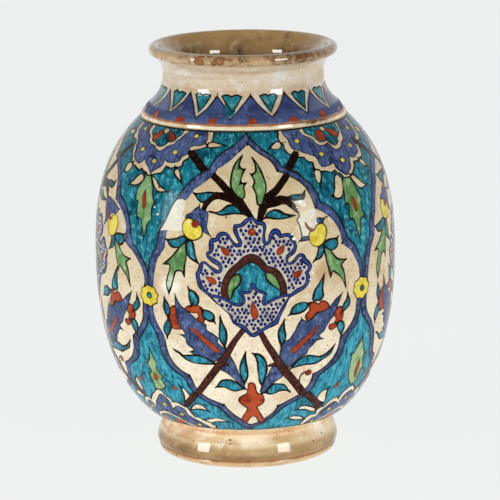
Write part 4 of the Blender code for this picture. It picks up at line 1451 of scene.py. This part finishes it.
def glazed(name, look):
    look = {**glaze, **look}
    material = bpy.data.materials.new(name)
    material.use_nodes = True
    n = Nodes(material.node_tree)
    spot = n.add("ShaderNodeTexCoord").outputs["Object"]
    level = n.apart(spot)[2]
    patch = n.noise(spot, look["patch"], 5.0, 0.6, 0.3)
    wash = n.noise(spot, look["patch"] * 2.7, 4.0, 0.6)
    colour = look["base"]
    # painted light: paler bands laid by height, where more light falls on the lower and upper body
    for reach, tone in look["fades"]:
        colour = n.blend(n.grade(level, *reach), colour, tone)
    cloud = n.grade(patch, 0.51, 0.37)
    if "below" in look:
        # painted light: paler towards the foot, where bounce light from the floor falls, and cleaner there
        # too
        low = n.grade(level, 0.185, 0.075)
        colour = n.blend(low, colour, look["below"])
        cloud = n.times(cloud, n.minus(1.0, n.times(low, look["clean"])))
    colour = n.blend(cloud, colour, look["dark"])
    colour = n.blend(n.grade(wash, 0.51, 0.66), colour, look["light"])
    for key, layer in layers.items():
        if key in look:
            colour = layer(n, spot, colour, look)
    height = n.plus(n.noise(spot, 34.0, 2.0, 0.5), n.times(n.noise(spot, 210.0, 2.0, 0.5), 0.10))
    wave = {"Strength": look["wave"], "Distance": look["waveDepth"], "Height": height}
    sheen = n.plus(n.times(patch, 0.10), look["rough"])
    for low, high in look["dull"]:
        # a stretch that the glaze left dull
        mask = n.times(n.grade(level, *low), n.grade(level, *high))
        sheen = n.plus(sheen, n.times(mask, look["dullness"]))
    shader = {
        "Base Color": colour,
        "Roughness": sheen,
        "Normal": n.add("ShaderNodeBump", wave),
        "IOR": look["ior"],
        "Specular IOR Level": look["gloss"],
    }
    n.feed(material.node_tree.nodes["Principled BSDF"], shader)
    return material


def stainedBetween(low, high, colours, scale, byHeight=False):
    # a stain, or the foot's painted shade, that lies on one stretch of the turned section, or between two
    # heights
    def stain(n, spot, colour):
        where = n.apart(spot)[2] if byHeight else n.apart(n.chart())[1]
        mask = n.grade(where, *low)
        if high:
            mask = n.times(mask, n.grade(where, *high))
        deep, ground, pale, strength = colours
        tone = n.blend(n.grade(n.noise(spot, scale, 6.0, 0.65, 0.5), 0.34, 0.56), deep, ground)
        tone = n.blend(n.grade(n.noise(spot, scale * 3.1, 4.0, 0.6), 0.52, 0.76), tone, pale)
        return n.blend(n.times(mask, strength), colour, tone)

    return stain


def smudged(marks, scale=95.0):
    # soft stains, painted shade and painted highlights at places in mm: centre, half sizes, colour, strength
    def smudge(n, spot, colour):
        cloud = n.grade(n.noise(spot, scale, 5.0, 0.65, 0.4), 0.36, 0.58)
        for centre, half, tone, strength in marks:
            centred = tuple(-c / h for c, h in zip(centre, half))
            sized = tuple(1 / (h * mm) for h in half)
            place = n.add("ShaderNodeMapping", {"Vector": spot, "Location": centred, "Scale": sized})
            away = n.add("ShaderNodeVectorMath", {0: place}, operation="LENGTH").outputs["Value"]
            colour = n.blend(n.times(n.grade(away, 1.0, 0.1), n.times(cloud, strength)), colour, tone)
        return colour

    return smudge


def wheelStreaks(dark, light, amount, fine=170.0):
    # faint rings left by the turning
    def streaks(n, spot, colour):
        bands = n.noise(n.stretched(spot, 0.0, (9.0, 9.0, fine)), 1.0, 4.0, 0.6, 0.3)
        for low, high, tone in ((0.52, 0.34, dark), (0.54, 0.72, light)):
            colour = n.blend(n.times(n.grade(bands, low, high), amount), colour, tone)
        return colour

    return streaks


# The thrown sections, in mm: outside up, then inside down
underside = [(0, 24.8), (49.5, 24.8), (49.5, 27.3), (57.8, 27.4), (66, 28.9)]
bodyInside = insideOf(bodyOutline(30), outline["wall"])
bodyInside = bodyInside[bodyInside[:, 1] > 46]
floorTurn = pulled(bodyInside[0], bodyInside[0] - (6, 7), (64, 36.3), (52, 36.3), 9)
bodyOuter = underside + bodyOutline(46).tolist() + [(73.6, 248.5), (66.2, 248.5)]
bodySection = bodyOuter + bodyInside[::-1].tolist() + floorTurn[1:].tolist() + [(26, 36.1), (0, 36.0)]
lip = dict(centre=(64.0, 295.9), wide=4.2, tall=4.1, start=-0.95, end=2.2)
lipRoll = [
    (lip["centre"][0] + lip["wide"] * math.cos(a), lip["centre"][1] + lip["tall"] * math.sin(a))
    for a in np.linspace(lip["start"], lip["end"], 18)
]
neckInside = insideOf(neckOutline(48), outline["neckWall"]) + (0, 2.4)
neckInside = neckInside[neckInside[:, 1] < 291.5]
neckOuter = [(66.2, 248.6), (71.6, 248.6)] + neckOutline(56)[:-4].tolist()
neckSection = neckOuter + lipRoll + [(60.3, 297.0), (59.7, 294.5)] + neckInside[::-1].tolist()
neckSection += [(66.2, 250.4), (66.2, 248.6)]


def share(section, count):
    run = arcLength(np.array(section, float))
    return run[count] / run[-1]


bodyTurn = share(bodySection, len(bodyOuter) - 1)
lipStart = share(neckSection, len(neckOuter) - 1)
lipEnd = share(neckSection, len(neckOuter) + len(lipRoll) - 3)

# Stains, and the foot's painted shade: deep, middle and pale colour, and strength
insideStain = ((148, 110, 60), (208, 167, 110), (234, 202, 148), 0.95)
lipStain = ((120, 80, 40), (186, 151, 104), (226, 206, 166), 0.94)
lipEdge = ((142, 84, 40), (188, 132, 82), (214, 178, 132), 0.5)
beadSeam = ((140, 72, 30), (196, 112, 50), (226, 160, 96), 0.9)
footSeam = ((206, 140, 80), (220, 164, 104), (236, 200, 152), 0.6)
# painted shade with stain: the lower half of the foot darker, and darker again under its bulge
footShade = ((148, 112, 66), (192, 160, 114), (216, 186, 142), 0.9)
footUndersideShade = ((136, 100, 56), (168, 134, 88), (194, 158, 112), 0.75)
footGroove = ((134, 78, 34), (180, 112, 54), (208, 148, 88), 0.9)
plinthTone = ((190, 150, 104), (220, 190, 146), (236, 212, 172), 0.85)
# Stains, painted shade and painted highlights: centre and half sizes in mm, colour and strength
bodyStainsAndSheen = [
    ((56, -94, 149), (17, 30, 20), (190, 142, 94), 0.7),
    ((72, -82, 135), (14, 30, 16), (188, 140, 94), 0.6),
    ((38, -94, 80), (11, 30, 9), (212, 152, 98), 0.8),
    ((-53, -95, 127), (10, 30, 8), (206, 146, 92), 0.7),
    ((-58, -94, 146), (12, 30, 16), (200, 158, 108), 0.6),
    ((27, -90, 61), (12, 30, 7), (222, 178, 130), 0.6),
    # painted highlight: a whitish sheen on the glaze at the left
    ((-53, -95, 144), (12, 30, 11), (255, 250, 236), 1.1),
]
leafTonesAndSheen = [
    ((-69, -73, 196), (15, 30, 26), (158, 192, 146), 0.8),
    ((73, -68, 194), (16, 30, 26), (66, 112, 60), 0.8),
    # painted highlight: the same whitish sheen where it crosses the leaf
    ((-51, -97, 146), (9, 30, 9), (206, 222, 192), 1.2),
]
neckStainsShadeAndSheen = [
    ((42, -50, 296), (30, 40, 8), (110, 70, 34), 1.2),
    ((64, -14, 296), (12, 40, 7), (96, 68, 40), 1.2),
    ((-3, 54, 284), (7, 20, 9), (60, 40, 20), 0.9),
    # painted reflections: pale streaks inside the rim at its left and right ends
    ((-62, 6, 293), (18, 38, 10), (226, 214, 192), 2.0),
    ((62, 6, 293), (18, 38, 10), (226, 214, 192), 2.0),
    ((-44, -46, 296), (30, 30, 8), (222, 200, 158), 0.45),
    ((-40, 36, 287), (26, 26, 10), (112, 80, 42), 0.85),
    ((-34, -46, 275), (24, 24, 3.5), (204, 168, 124), 0.8),
    ((2, -60, 271), (22, 20, 3.5), (206, 170, 128), 0.7),
    # painted sheen: pale grey patches on the neck above the lamps' reflections
    ((26, -52, 283), (22, 24, 7), (224, 220, 212), 0.9),
    ((46, -36, 277), (12, 24, 10), (218, 212, 204), 0.7),
    ((-42, -40, 284), (18, 24, 5), (226, 220, 210), 0.9),
    # painted shade: a darker band under the lip
    ((-2, -58, 287), (26, 24, 3), (186, 160, 126), 0.7),
]
footStainsShadeAndSheen = [
    ((-60, -26, 9), (24, 44, 11), (128, 100, 58), 1.0),
    ((-44, -50, 8), (14, 24, 8), (128, 92, 50), 0.6),
    # painted shade on the underside of the bulge, above the groove
    ((-6, -66, 7), (34, 20, 4.5), (118, 80, 40), 0.6),
    ((34, -56, 9), (16, 24, 8), (150, 104, 58), 0.4),
    ((60, -26, 8), (10, 24, 8), (112, 76, 42), 0.5),
    # painted highlights: pale patches on the upper foot, at the front and at both sides
    ((-2, -60, 19.5), (42, 26, 6.5), (255, 244, 220), 1.0),
    ((-54, -32, 22), (22, 30, 7), (255, 246, 226), 0.9),
    ((54, -32, 22), (22, 30, 7), (255, 248, 232), 1.1),
    ((-44, -46, 20), (10, 24, 7), (206, 150, 96), 0.7),
]
bodyChart = (2 * math.pi * girth, bodyRise, 1)
# each 'below' colour is painted light, paler towards the foot, and the cobalt's bands by height are painted
# light too
finishes = dict(
    slip=dict(
        base=(222, 204, 168), dark=(212, 188, 148), light=(232, 217, 188), below=(252, 240, 216), clean=0.75,
        patch=48.0, stain=(198, 152, 102), stainScale=38.0, stainAmount=0.22, crackle=0.12, pits=0.07,
        grain=820.0, speck=0.8, freckles=0.16, fleck=(186, 154, 112),
        extras=[
            smudged(bodyStainsAndSheen),
            stainedBetween((bodyTurn, bodyTurn + 0.01), None, insideStain, 22.0),
        ],
    ),
    neckSlip=dict(
        base=(212, 195, 168), dark=(200, 174, 138), light=(224, 213, 196), patch=40.0, wave=0.04, rough=0.0,
        stain=(190, 154, 114), stainScale=40.0, stainAmount=0.25, pits=0.1, grain=900.0, speck=0.55,
        freckles=0.24, fleck=(176, 146, 108), gloss=0.7, dull=[((0.2738, 0.2748), (0.2830, 0.2800))],
        extras=[
            wheelStreaks((190, 162, 126), (226, 214, 198), 0.45),
            stainedBetween(
                (lipStart + 0.008, lipStart + 0.014), (lipStart + 0.032, lipStart + 0.026), lipEdge, 70.0
            ),
            stainedBetween((lipStart + 0.020, lipStart + 0.030), None, lipStain, 190.0),
            stainedBetween((lipEnd - 0.012, lipEnd + 0.012), None, insideStain, 34.0),
            smudged(neckStainsShadeAndSheen, 120.0),
        ],
    ),
    beadSlip=dict(
        base=(242, 228, 196), dark=(222, 198, 158), light=(250, 240, 216), patch=60.0, wave=0.14, rough=0.0,
        stain=(192, 142, 90), stainScale=40.0, stainAmount=0.4, pits=0.08, speck=0.4, gloss=0.5,
        extras=[
            stainedBetween((0.2506, 0.2513), None, beadSeam, 60.0, byHeight=True),
            smudged([((52, -52, 251), (27, 27, 3.2), (112, 76, 38), 1.3)], 60.0),
        ],
    ),
    footSlip=dict(
        base=(243, 217, 174), dark=(216, 171, 114), light=(252, 240, 214), patch=40.0, wave=0.06, rough=0.0,
        stain=(178, 124, 66), stainScale=34.0, stainAmount=0.45, pits=0.15, grain=900.0, speck=0.55,
        freckles=0.22, fleck=(160, 122, 78), gloss=0.5, dull=[((0.017, 0.022), (1.0, 0.9))],
        extras=[
            wheelStreaks((178, 130, 80), (244, 226, 196), 0.65, 150.0),
            stainedBetween((0.0226, 0.0234), (0.0250, 0.0242), footSeam, 60.0, byHeight=True),
            # painted shade: the lower half of the foot darker, and darker again under its bulge
            stainedBetween((0.0178, 0.0122), (0.0040, 0.0050), footShade, 45.0, byHeight=True),
            stainedBetween((0.0112, 0.0078), (0.0040, 0.0050), footUndersideShade, 70.0, byHeight=True),
            stainedBetween((0.0048, 0.0040), None, plinthTone, 60.0, byHeight=True),
            smudged(footStainsShadeAndSheen, 55.0),
            stainedBetween((0.0038, 0.0044), (0.0058, 0.0050), footGroove, 60.0, byHeight=True),
        ],
    ),
    turquoise=dict(
        base=(29, 125, 144), dark=(6, 68, 86), light=(92, 184, 198), below=(58, 162, 188), patch=105.0,
        clean=0.35, strokes=0.75, chart=bodyChart, pool=((8, 66, 80), 1.1, 0.36), speck=0.3,
    ),
    cobalt=dict(
        base=(66, 83, 126), dark=(35, 47, 83), light=(112, 128, 172), patch=90.0, strokes=0.8,
        fades=[((0.112, 0.060), (86, 102, 144)), ((0.185, 0.225), (80, 96, 143))], chart=bodyChart,
        pool=((38, 50, 84), 0.8, 0.4), grain=900.0, speck=0.6, fleck=(116, 128, 164),
    ),
    cobaltInk=dict(base=(46, 68, 138), dark=(30, 42, 102), light=(76, 98, 164), patch=160.0, speck=0.3),
    dots=dict(base=(25, 32, 98), dark=(14, 16, 62), light=(56, 72, 146), patch=240.0),
    navy=dict(base=(11, 12, 38), dark=(7, 8, 24), light=(24, 28, 64), patch=160.0),
    outline=dict(base=(22, 18, 8), dark=(12, 9, 4), light=(46, 37, 17), patch=160.0),
    branch=dict(base=(27, 12, 7), dark=(17, 7, 4), light=(54, 31, 22), patch=140.0),
    stem=dict(base=(72, 32, 26), dark=(40, 16, 12), light=(104, 58, 48), patch=190.0, speck=0.5),
    red=dict(
        base=(158, 61, 31), dark=(134, 44, 20), light=(186, 90, 54), below=(188, 80, 44), patch=110.0,
        pool=((136, 44, 18), 0.7, 0.5), speck=0.3,
    ),
    yellow=dict(
        base=(234, 214, 78), dark=(212, 184, 54), light=(246, 232, 122), patch=130.0,
        pool=((196, 168, 50), 0.5, 0.4), speck=0.35,
    ),
    green=dict(
        base=(121, 161, 104), dark=(80, 126, 70), light=(178, 204, 156), patch=75.0, strokes=0.65,
        chart=bodyChart, pool=((72, 116, 58), 1.0, 0.45), speck=0.3,
        extras=[smudged(leafTonesAndSheen)],
    ),
    paleGreen=dict(
        base=(160, 186, 138), dark=(120, 156, 96), light=(192, 208, 164), patch=90.0, speck=0.35,
        pool=((112, 142, 80), 1.0, 0.4),
    ),
    pale=dict(
        base=(200, 190, 174), dark=(174, 164, 152), light=(216, 207, 192), patch=110.0, speck=0.4,
        fleck=(156, 146, 138),
    ),
    # painted highlight and painted glints: pale coats standing in for reflections on the glaze
    worn=dict(
        base=(230, 225, 204), dark=(220, 213, 190), light=(238, 235, 220), patch=90.0, speck=0.2, rough=0.2
    ),
    spark=dict(base=(255, 253, 248), dark=(244, 241, 233), light=(255, 255, 253), patch=300.0, rough=0.1),
    chip=dict(
        base=(150, 98, 60), dark=(112, 70, 40), light=(188, 138, 94), patch=220.0, speck=0.5, rough=0.5,
        gloss=0.2,
    ),
    neckTurquoise=dict(
        base=(32, 124, 138), dark=(12, 88, 102), light=(84, 164, 166), patch=110.0, speck=0.3, gloss=0.5,
        pool=((8, 92, 102), 1.0, 0.4),
    ),
    neckCobalt=dict(
        base=(63, 80, 130), dark=(44, 57, 100), light=(90, 105, 154), patch=70.0, speck=0.3, gloss=0.5,
        dull=[((0.2590, 0.2570), (0.0, 0.1))], strokes=0.4, chart=(450.0, 45.0, 1),
        pool=((42, 44, 92), 0.8, 0.4),
    ),
)
glazes = {name: glazed(name + "Glaze", look) for name, look in finishes.items()}
print("finishes made", len(glazes))

# The thrown body: outside, floor and inside as one shell
bodyShell = turned("bodyShell", bodySection, 160, glazes["slip"])
keep(bodyShell, "body_glaze", "lower_body", "upper_body")

palmetteDots = dict(spacing=3.2, size=2.75, margin=0.8, lift=0.098, seed=4)


def dotted(verts, tris):
    # the blue dots of the palmettes, on their pale ground
    ground = bpy.data.meshes.new("dotGround")
    ground.from_pydata(np.column_stack([verts * mm, np.zeros(len(verts))]).tolist(), [], tris.tolist())
    d = palmetteDots
    sizes = dict(Spacing=d["spacing"], Size=d["size"], Margin=d["margin"], Lift=d["lift"], Sink=brush["sink"])
    values = {label: size * mm for label, size in sizes.items()}
    dots = grow("dots", ground, dabbing, {**values, "Seed": d["seed"], "Material": glazes["dots"]})
    flat = dots.data
    bpy.data.objects.remove(dots)
    return flat


def paint(prefix, cartoon, copies, slot, special="", wander=brush["wander"]):
    guide = outlineCurve(prefix + "Guide", cartoon.line)
    verts, coats = cartoon.cut()
    flats = []
    for pigment, tris in coats.items():
        if pigment == "bare" or not len(tris):
            continue
        finish = glazes.get(special + pigment[0].upper() + pigment[1:], glazes[pigment])
        parts = {pigment: tris}
        if len(tris) > brush["mostTriangles"]:
            # the dark outlines are many, so they are two coats, above and below the belly
            high = verts[tris].mean(axis=1)[:, 1] > cartoon.arc[-1] / 2
            parts = {pigment + "Above": tris[high], pigment + "Below": tris[~high]}
        flats += [(label, sheet(label, verts, part), finish) for label, part in parts.items()]
    if "pale" in coats:
        flats.append(("dots", dotted(verts, coats["pale"]), glazes["dots"]))
    for label, flat, finish in flats:
        keep(lay(prefix + label, flat, guide, copies, cartoon, finish, wander), slot)
    bpy.data.objects.remove(guide)


paint("paint_", body, 2, "body_glaze")

# Foot
footSection = [
    *pulled((57.8, 27.4), (58.0, 21.5), (63.55, 19.7), (64.55, 16.6), 12).tolist(),
    (64.9, 15.5), (65.25, 14.4), (65.6, 13.3),
    *pulled((65.95, 12.2), (66.6, 10.2), (66.9, 8.0), (66.1, 6.6), 8).tolist(),
    (65.3, 5.5), (64.4, 4.7), (64.9, 4.2), (65.3, 3.3), (65.0, 1.8), (64.2, 0.6), (62.8, 0.0),
    (52.4, 0.0), (50.7, 0.8), (50.0, 2.4), (50.0, 27.4), (57.8, 27.4),
]
foot = turned("footRing", footSection, 128, glazes["footSlip"])
keep(foot, "foot_glaze", "foot_ring")

# Bead round the shoulder
beadSection = [
    (71.3, 248.5), (73.4, 248.5), (73.87, 248.68), (74.0, 249.05), (73.9, 249.6), (73.76, 250.4),
    (73.61, 251.15), (73.42, 251.6), (73.0, 251.93), (72.3, 252.05), (71.3, 252.05), (71.3, 248.5),
]
bead = turned("shoulderBead", beadSection, 128, glazes["beadSlip"])
keep(bead, "bead_glaze", "shoulder_bead")

# Neck and rolled lip
neck = turned("neckAndLip", neckSection, 160, glazes["neckSlip"])
keep(neck, "neck_glaze", "neck", "lip_roll")

# Painted zigzag round the neck: hearts stand in the notches, red mounds lie under the peaks
neckBand = dict(
    front=(-70.0, -43.0, -17.0, 14.0, 44.0, 71.0),
    others=10,
    peak=23.2,
    notch=4.6,
    top=26.5,
    grid=1.7,
    wander=0.8,
    heart=[(-8.2, 22.2, 1), (-4, 23.4), (-0.3, 22.3, 1), (3.8, 23.3), (8, 22, 1), (3.6, 15.4), (-0.2, 8.6, 1),
           (-4.2, 15.4)],
    run=[(-5.6, 17), (-4, 9.6), (-2, 4.4, 1), (1.4, 8), (2.6, 12.5)],
    heartTop=[(-8.4, 22.2, 1), (-4, 23.4), (-0.3, 22.3, 1), (3.8, 23.3), (8.2, 22, 1)],
    heartVee=[(-7.9, 22), (0.6, 10.6, 1), (7.8, 21.8)],
    mound=[(-3.7, -1.5, 1), (-3.3, 1.6), (-1.4, 3.7), (1.5, 4.5), (3.2, 2.2), (3.6, -1.5, 1)],
)


def drawNeck(c, centres, peaks):
    b = neckBand
    left, right = peaks[0], peaks[-1]
    edge = [(left - 4, -3, 1), (right + 4, -3, 1), (right + 4, 17)]
    for i in range(len(peaks) - 1, -1, -1):
        edge.append((peaks[i], b["peak"] + 0.8 * math.sin(2.1 * i), 1))
        if i:
            middle = centres[i - 1]
            notch = b["notch"] + 0.9 * math.sin(1.7 * i)
            edge.append((0.45 * peaks[i] + 0.55 * middle + 0.7 * math.sin(3.7 * i), 13.2))
            edge.append((middle - 0.4, notch, 1))
            edge.append((0.45 * peaks[i - 1] + 0.55 * middle + 0.7 * math.sin(2.9 * i), 13.6))
    edge.append((left - 4, 17))
    c.fill("cobalt", edge, 0.9)
    for i, x in enumerate(peaks):
        c.stroke("outline", [(x, 22.0), (x + 0.2 * math.sin(i), 25.2)], (0.9, 0.3))
    for i, middle in enumerate(centres):
        tilt, size = 0.07 * math.sin(2.3 * i + 1), 1 + 0.07 * math.sin(4.1 * i)

        def moved(points):
            return [(middle + p[0] * size + (p[1] - 15) * tilt, *p[1:]) for p in points]

        if i == 2:
            c.fill("turquoise", moved(b["run"]))  # one heart's colour has run down
        c.fill("turquoise", moved(b["heart"]), 0.45)
        c.stroke("outline", moved(b["heartTop"]), 1.15)
        c.stroke("outline", moved(b["heartVee"]), 0.9)
    for i, x in enumerate(peaks):
        wide, tall = 1 + 0.16 * math.sin(1.9 * i), 1 + 0.2 * math.sin(2.7 * i + 1)
        c.fill("red", [(x + p[0] * wide, p[1] * tall, *p[2:]) for p in b["mound"]])


neckLine = neckOutline(80)
neckGirth = outline["neckBase"][0]
neckTurn = 2 * math.pi * neckGirth
front = neckBand["front"]
pitch = (neckTurn - front[-1] + front[0]) / (neckBand["others"] + 1)
hearts = [*front, *(front[-1] + pitch * (k + 1) for k in range(neckBand["others"]))]
firstPeak = front[0] - pitch / 2
lastPeak = firstPeak + neckTurn
peaks = [firstPeak, *((a + b) / 2 for a, b in zip(hearts, hearts[1:])), lastPeak]
neckArt = Cartoon(firstPeak, lastPeak, 0.0, neckBand["top"], neckLine, neckGirth, neckBand["grid"])
drawNeck(neckArt, hearts, peaks)
paint("neck_", neckArt, 1, "neck_glaze", "neck", neckBand["wander"])

# Two chips on the front of the lip, down to the clay
lipChips = [
    [(-42.3, 5.5), (-39.9, 7), (-36.1, 7.5), (-36.3, 4.4), (-36.2, 1.8), (-40.8, 0.9), (-42.9, 2.6)],
    [(-26.7, 6.3), (-24, 7.6), (-20.3, 6.8), (-20.8, 4.3), (-21.6, 2), (-26.1, 1.4), (-28.8, 2.6)],
]
lipGirth = lip["centre"][0] + lip["wide"]
lipArt = Cartoon(-47.0, -16.0, 0.3, 10.5, np.array(lipRoll), lipGirth, 1.2)
for edge in lipChips:
    lipArt.fill("chip", edge, 0.35, "stem")
paint("lip_", lipArt, 1, "lip_glaze", wander=0.2)

# Camera at the photograph's viewing angle
view = dict(distance=1.9605, height=0.5877, pitch=12.68, roll=-0.70, lens=197.8, sensor=36.0, shift=0.0094)
camera = bpy.data.cameras.new("camera")
camera.lens = view["lens"]
camera.sensor_width = view["sensor"]
camera.shift_x = view["shift"]
eye = shown("camera", camera)
stand = Matrix.Translation((0, -view["distance"], view["height"]))
lean = Euler((math.radians(90 - view["pitch"]), 0, 0)).to_matrix().to_4x4()
eye.matrix_world = stand @ lean @ Matrix.Rotation(math.radians(view["roll"]), 4, "Z")
bpy.context.scene.camera = eye

# Two softboxes and a pale room
softboxes = dict(
    distance=2.2, width=0.62, height=0.86, lift=11.5, aim=0.16, sides=((-57.5, 22.5), (46.7, 20.0))
)
for index, (azimuth, power) in enumerate(softboxes["sides"]):
    lamp = bpy.data.lights.new("softbox" + str(index), "AREA")
    lamp.shape = "RECTANGLE"
    lamp.size = softboxes["width"]
    lamp.size_y = softboxes["height"]
    lamp.energy = power
    around, lift = math.radians(azimuth), math.radians(softboxes["lift"])
    level, rise = softboxes["distance"] * math.cos(lift), softboxes["distance"] * math.sin(lift)
    box = shown("softbox" + str(index), lamp)
    box.location = (level * math.sin(around), -level * math.cos(around), softboxes["aim"] + rise)
    box.rotation_euler = Euler((math.pi / 2 - lift, 0, around))

roomLook = dict(light=0.16, backdrop=0.8)
room = bpy.data.worlds.new("room")
room.use_nodes = True
bpy.context.scene.world = room
n = Nodes(room.node_tree)
# the glaze mirrors a pale backdrop behind the vase
behind = n.grade(n.apart(n.add("ShaderNodeTexCoord").outputs["Generated"])[1], 0.1, 0.6)
mirrored = n.times(n.add("ShaderNodeLightPath").outputs["Is Glossy Ray"], behind)
strength = n.plus(n.times(mirrored, roomLook["backdrop"]), roomLook["light"])
n.feed(room.node_tree.nodes["Background"], {"Color": (1, 1, 1, 1), "Strength": strength})

# Plain pale floor that keeps the vase's shadow
floorLook = dict(reach=6.0, colour=(239, 241, 240), glow=0.965, catch=0.09, bounce=0.85, lift=0.62)
table = bpy.data.meshes.new("floor")
r = floorLook["reach"]
table.from_pydata([(-r, -r, 0), (r, -r, 0), (r, r, 0), (-r, r, 0)], [], [(0, 1, 2, 3)])
floor = shown("floor", table)
paper = bpy.data.materials.new("paper")
paper.use_nodes = True
paper.node_tree.nodes.clear()
n = Nodes(paper.node_tree)
white = tint(*floorLook["colour"])[:3]


def papered(glow, diffuse):
    light = n.add("ShaderNodeEmission", {"Color": (*white, 1), "Strength": glow})
    matt = n.add("ShaderNodeBsdfDiffuse", {"Color": (*(c * diffuse for c in white), 1)})
    return n.add("ShaderNodeAddShader", {0: light, 1: matt})


path = n.add("ShaderNodeLightPath").outputs
seen = n.calc("MAXIMUM", path["Is Camera Ray"], path["Is Glossy Ray"])
unseen = papered(floorLook["lift"], floorLook["bounce"])
inView = papered(floorLook["glow"], floorLook["catch"])
either = n.add("ShaderNodeMixShader", {0: seen, 1: unseen, 2: inView})
n.add("ShaderNodeOutputMaterial", {"Surface": either})
table.materials.append(paper)

bpy.context.scene.view_settings.view_transform = "Standard"
bpy.context.view_layer.update()
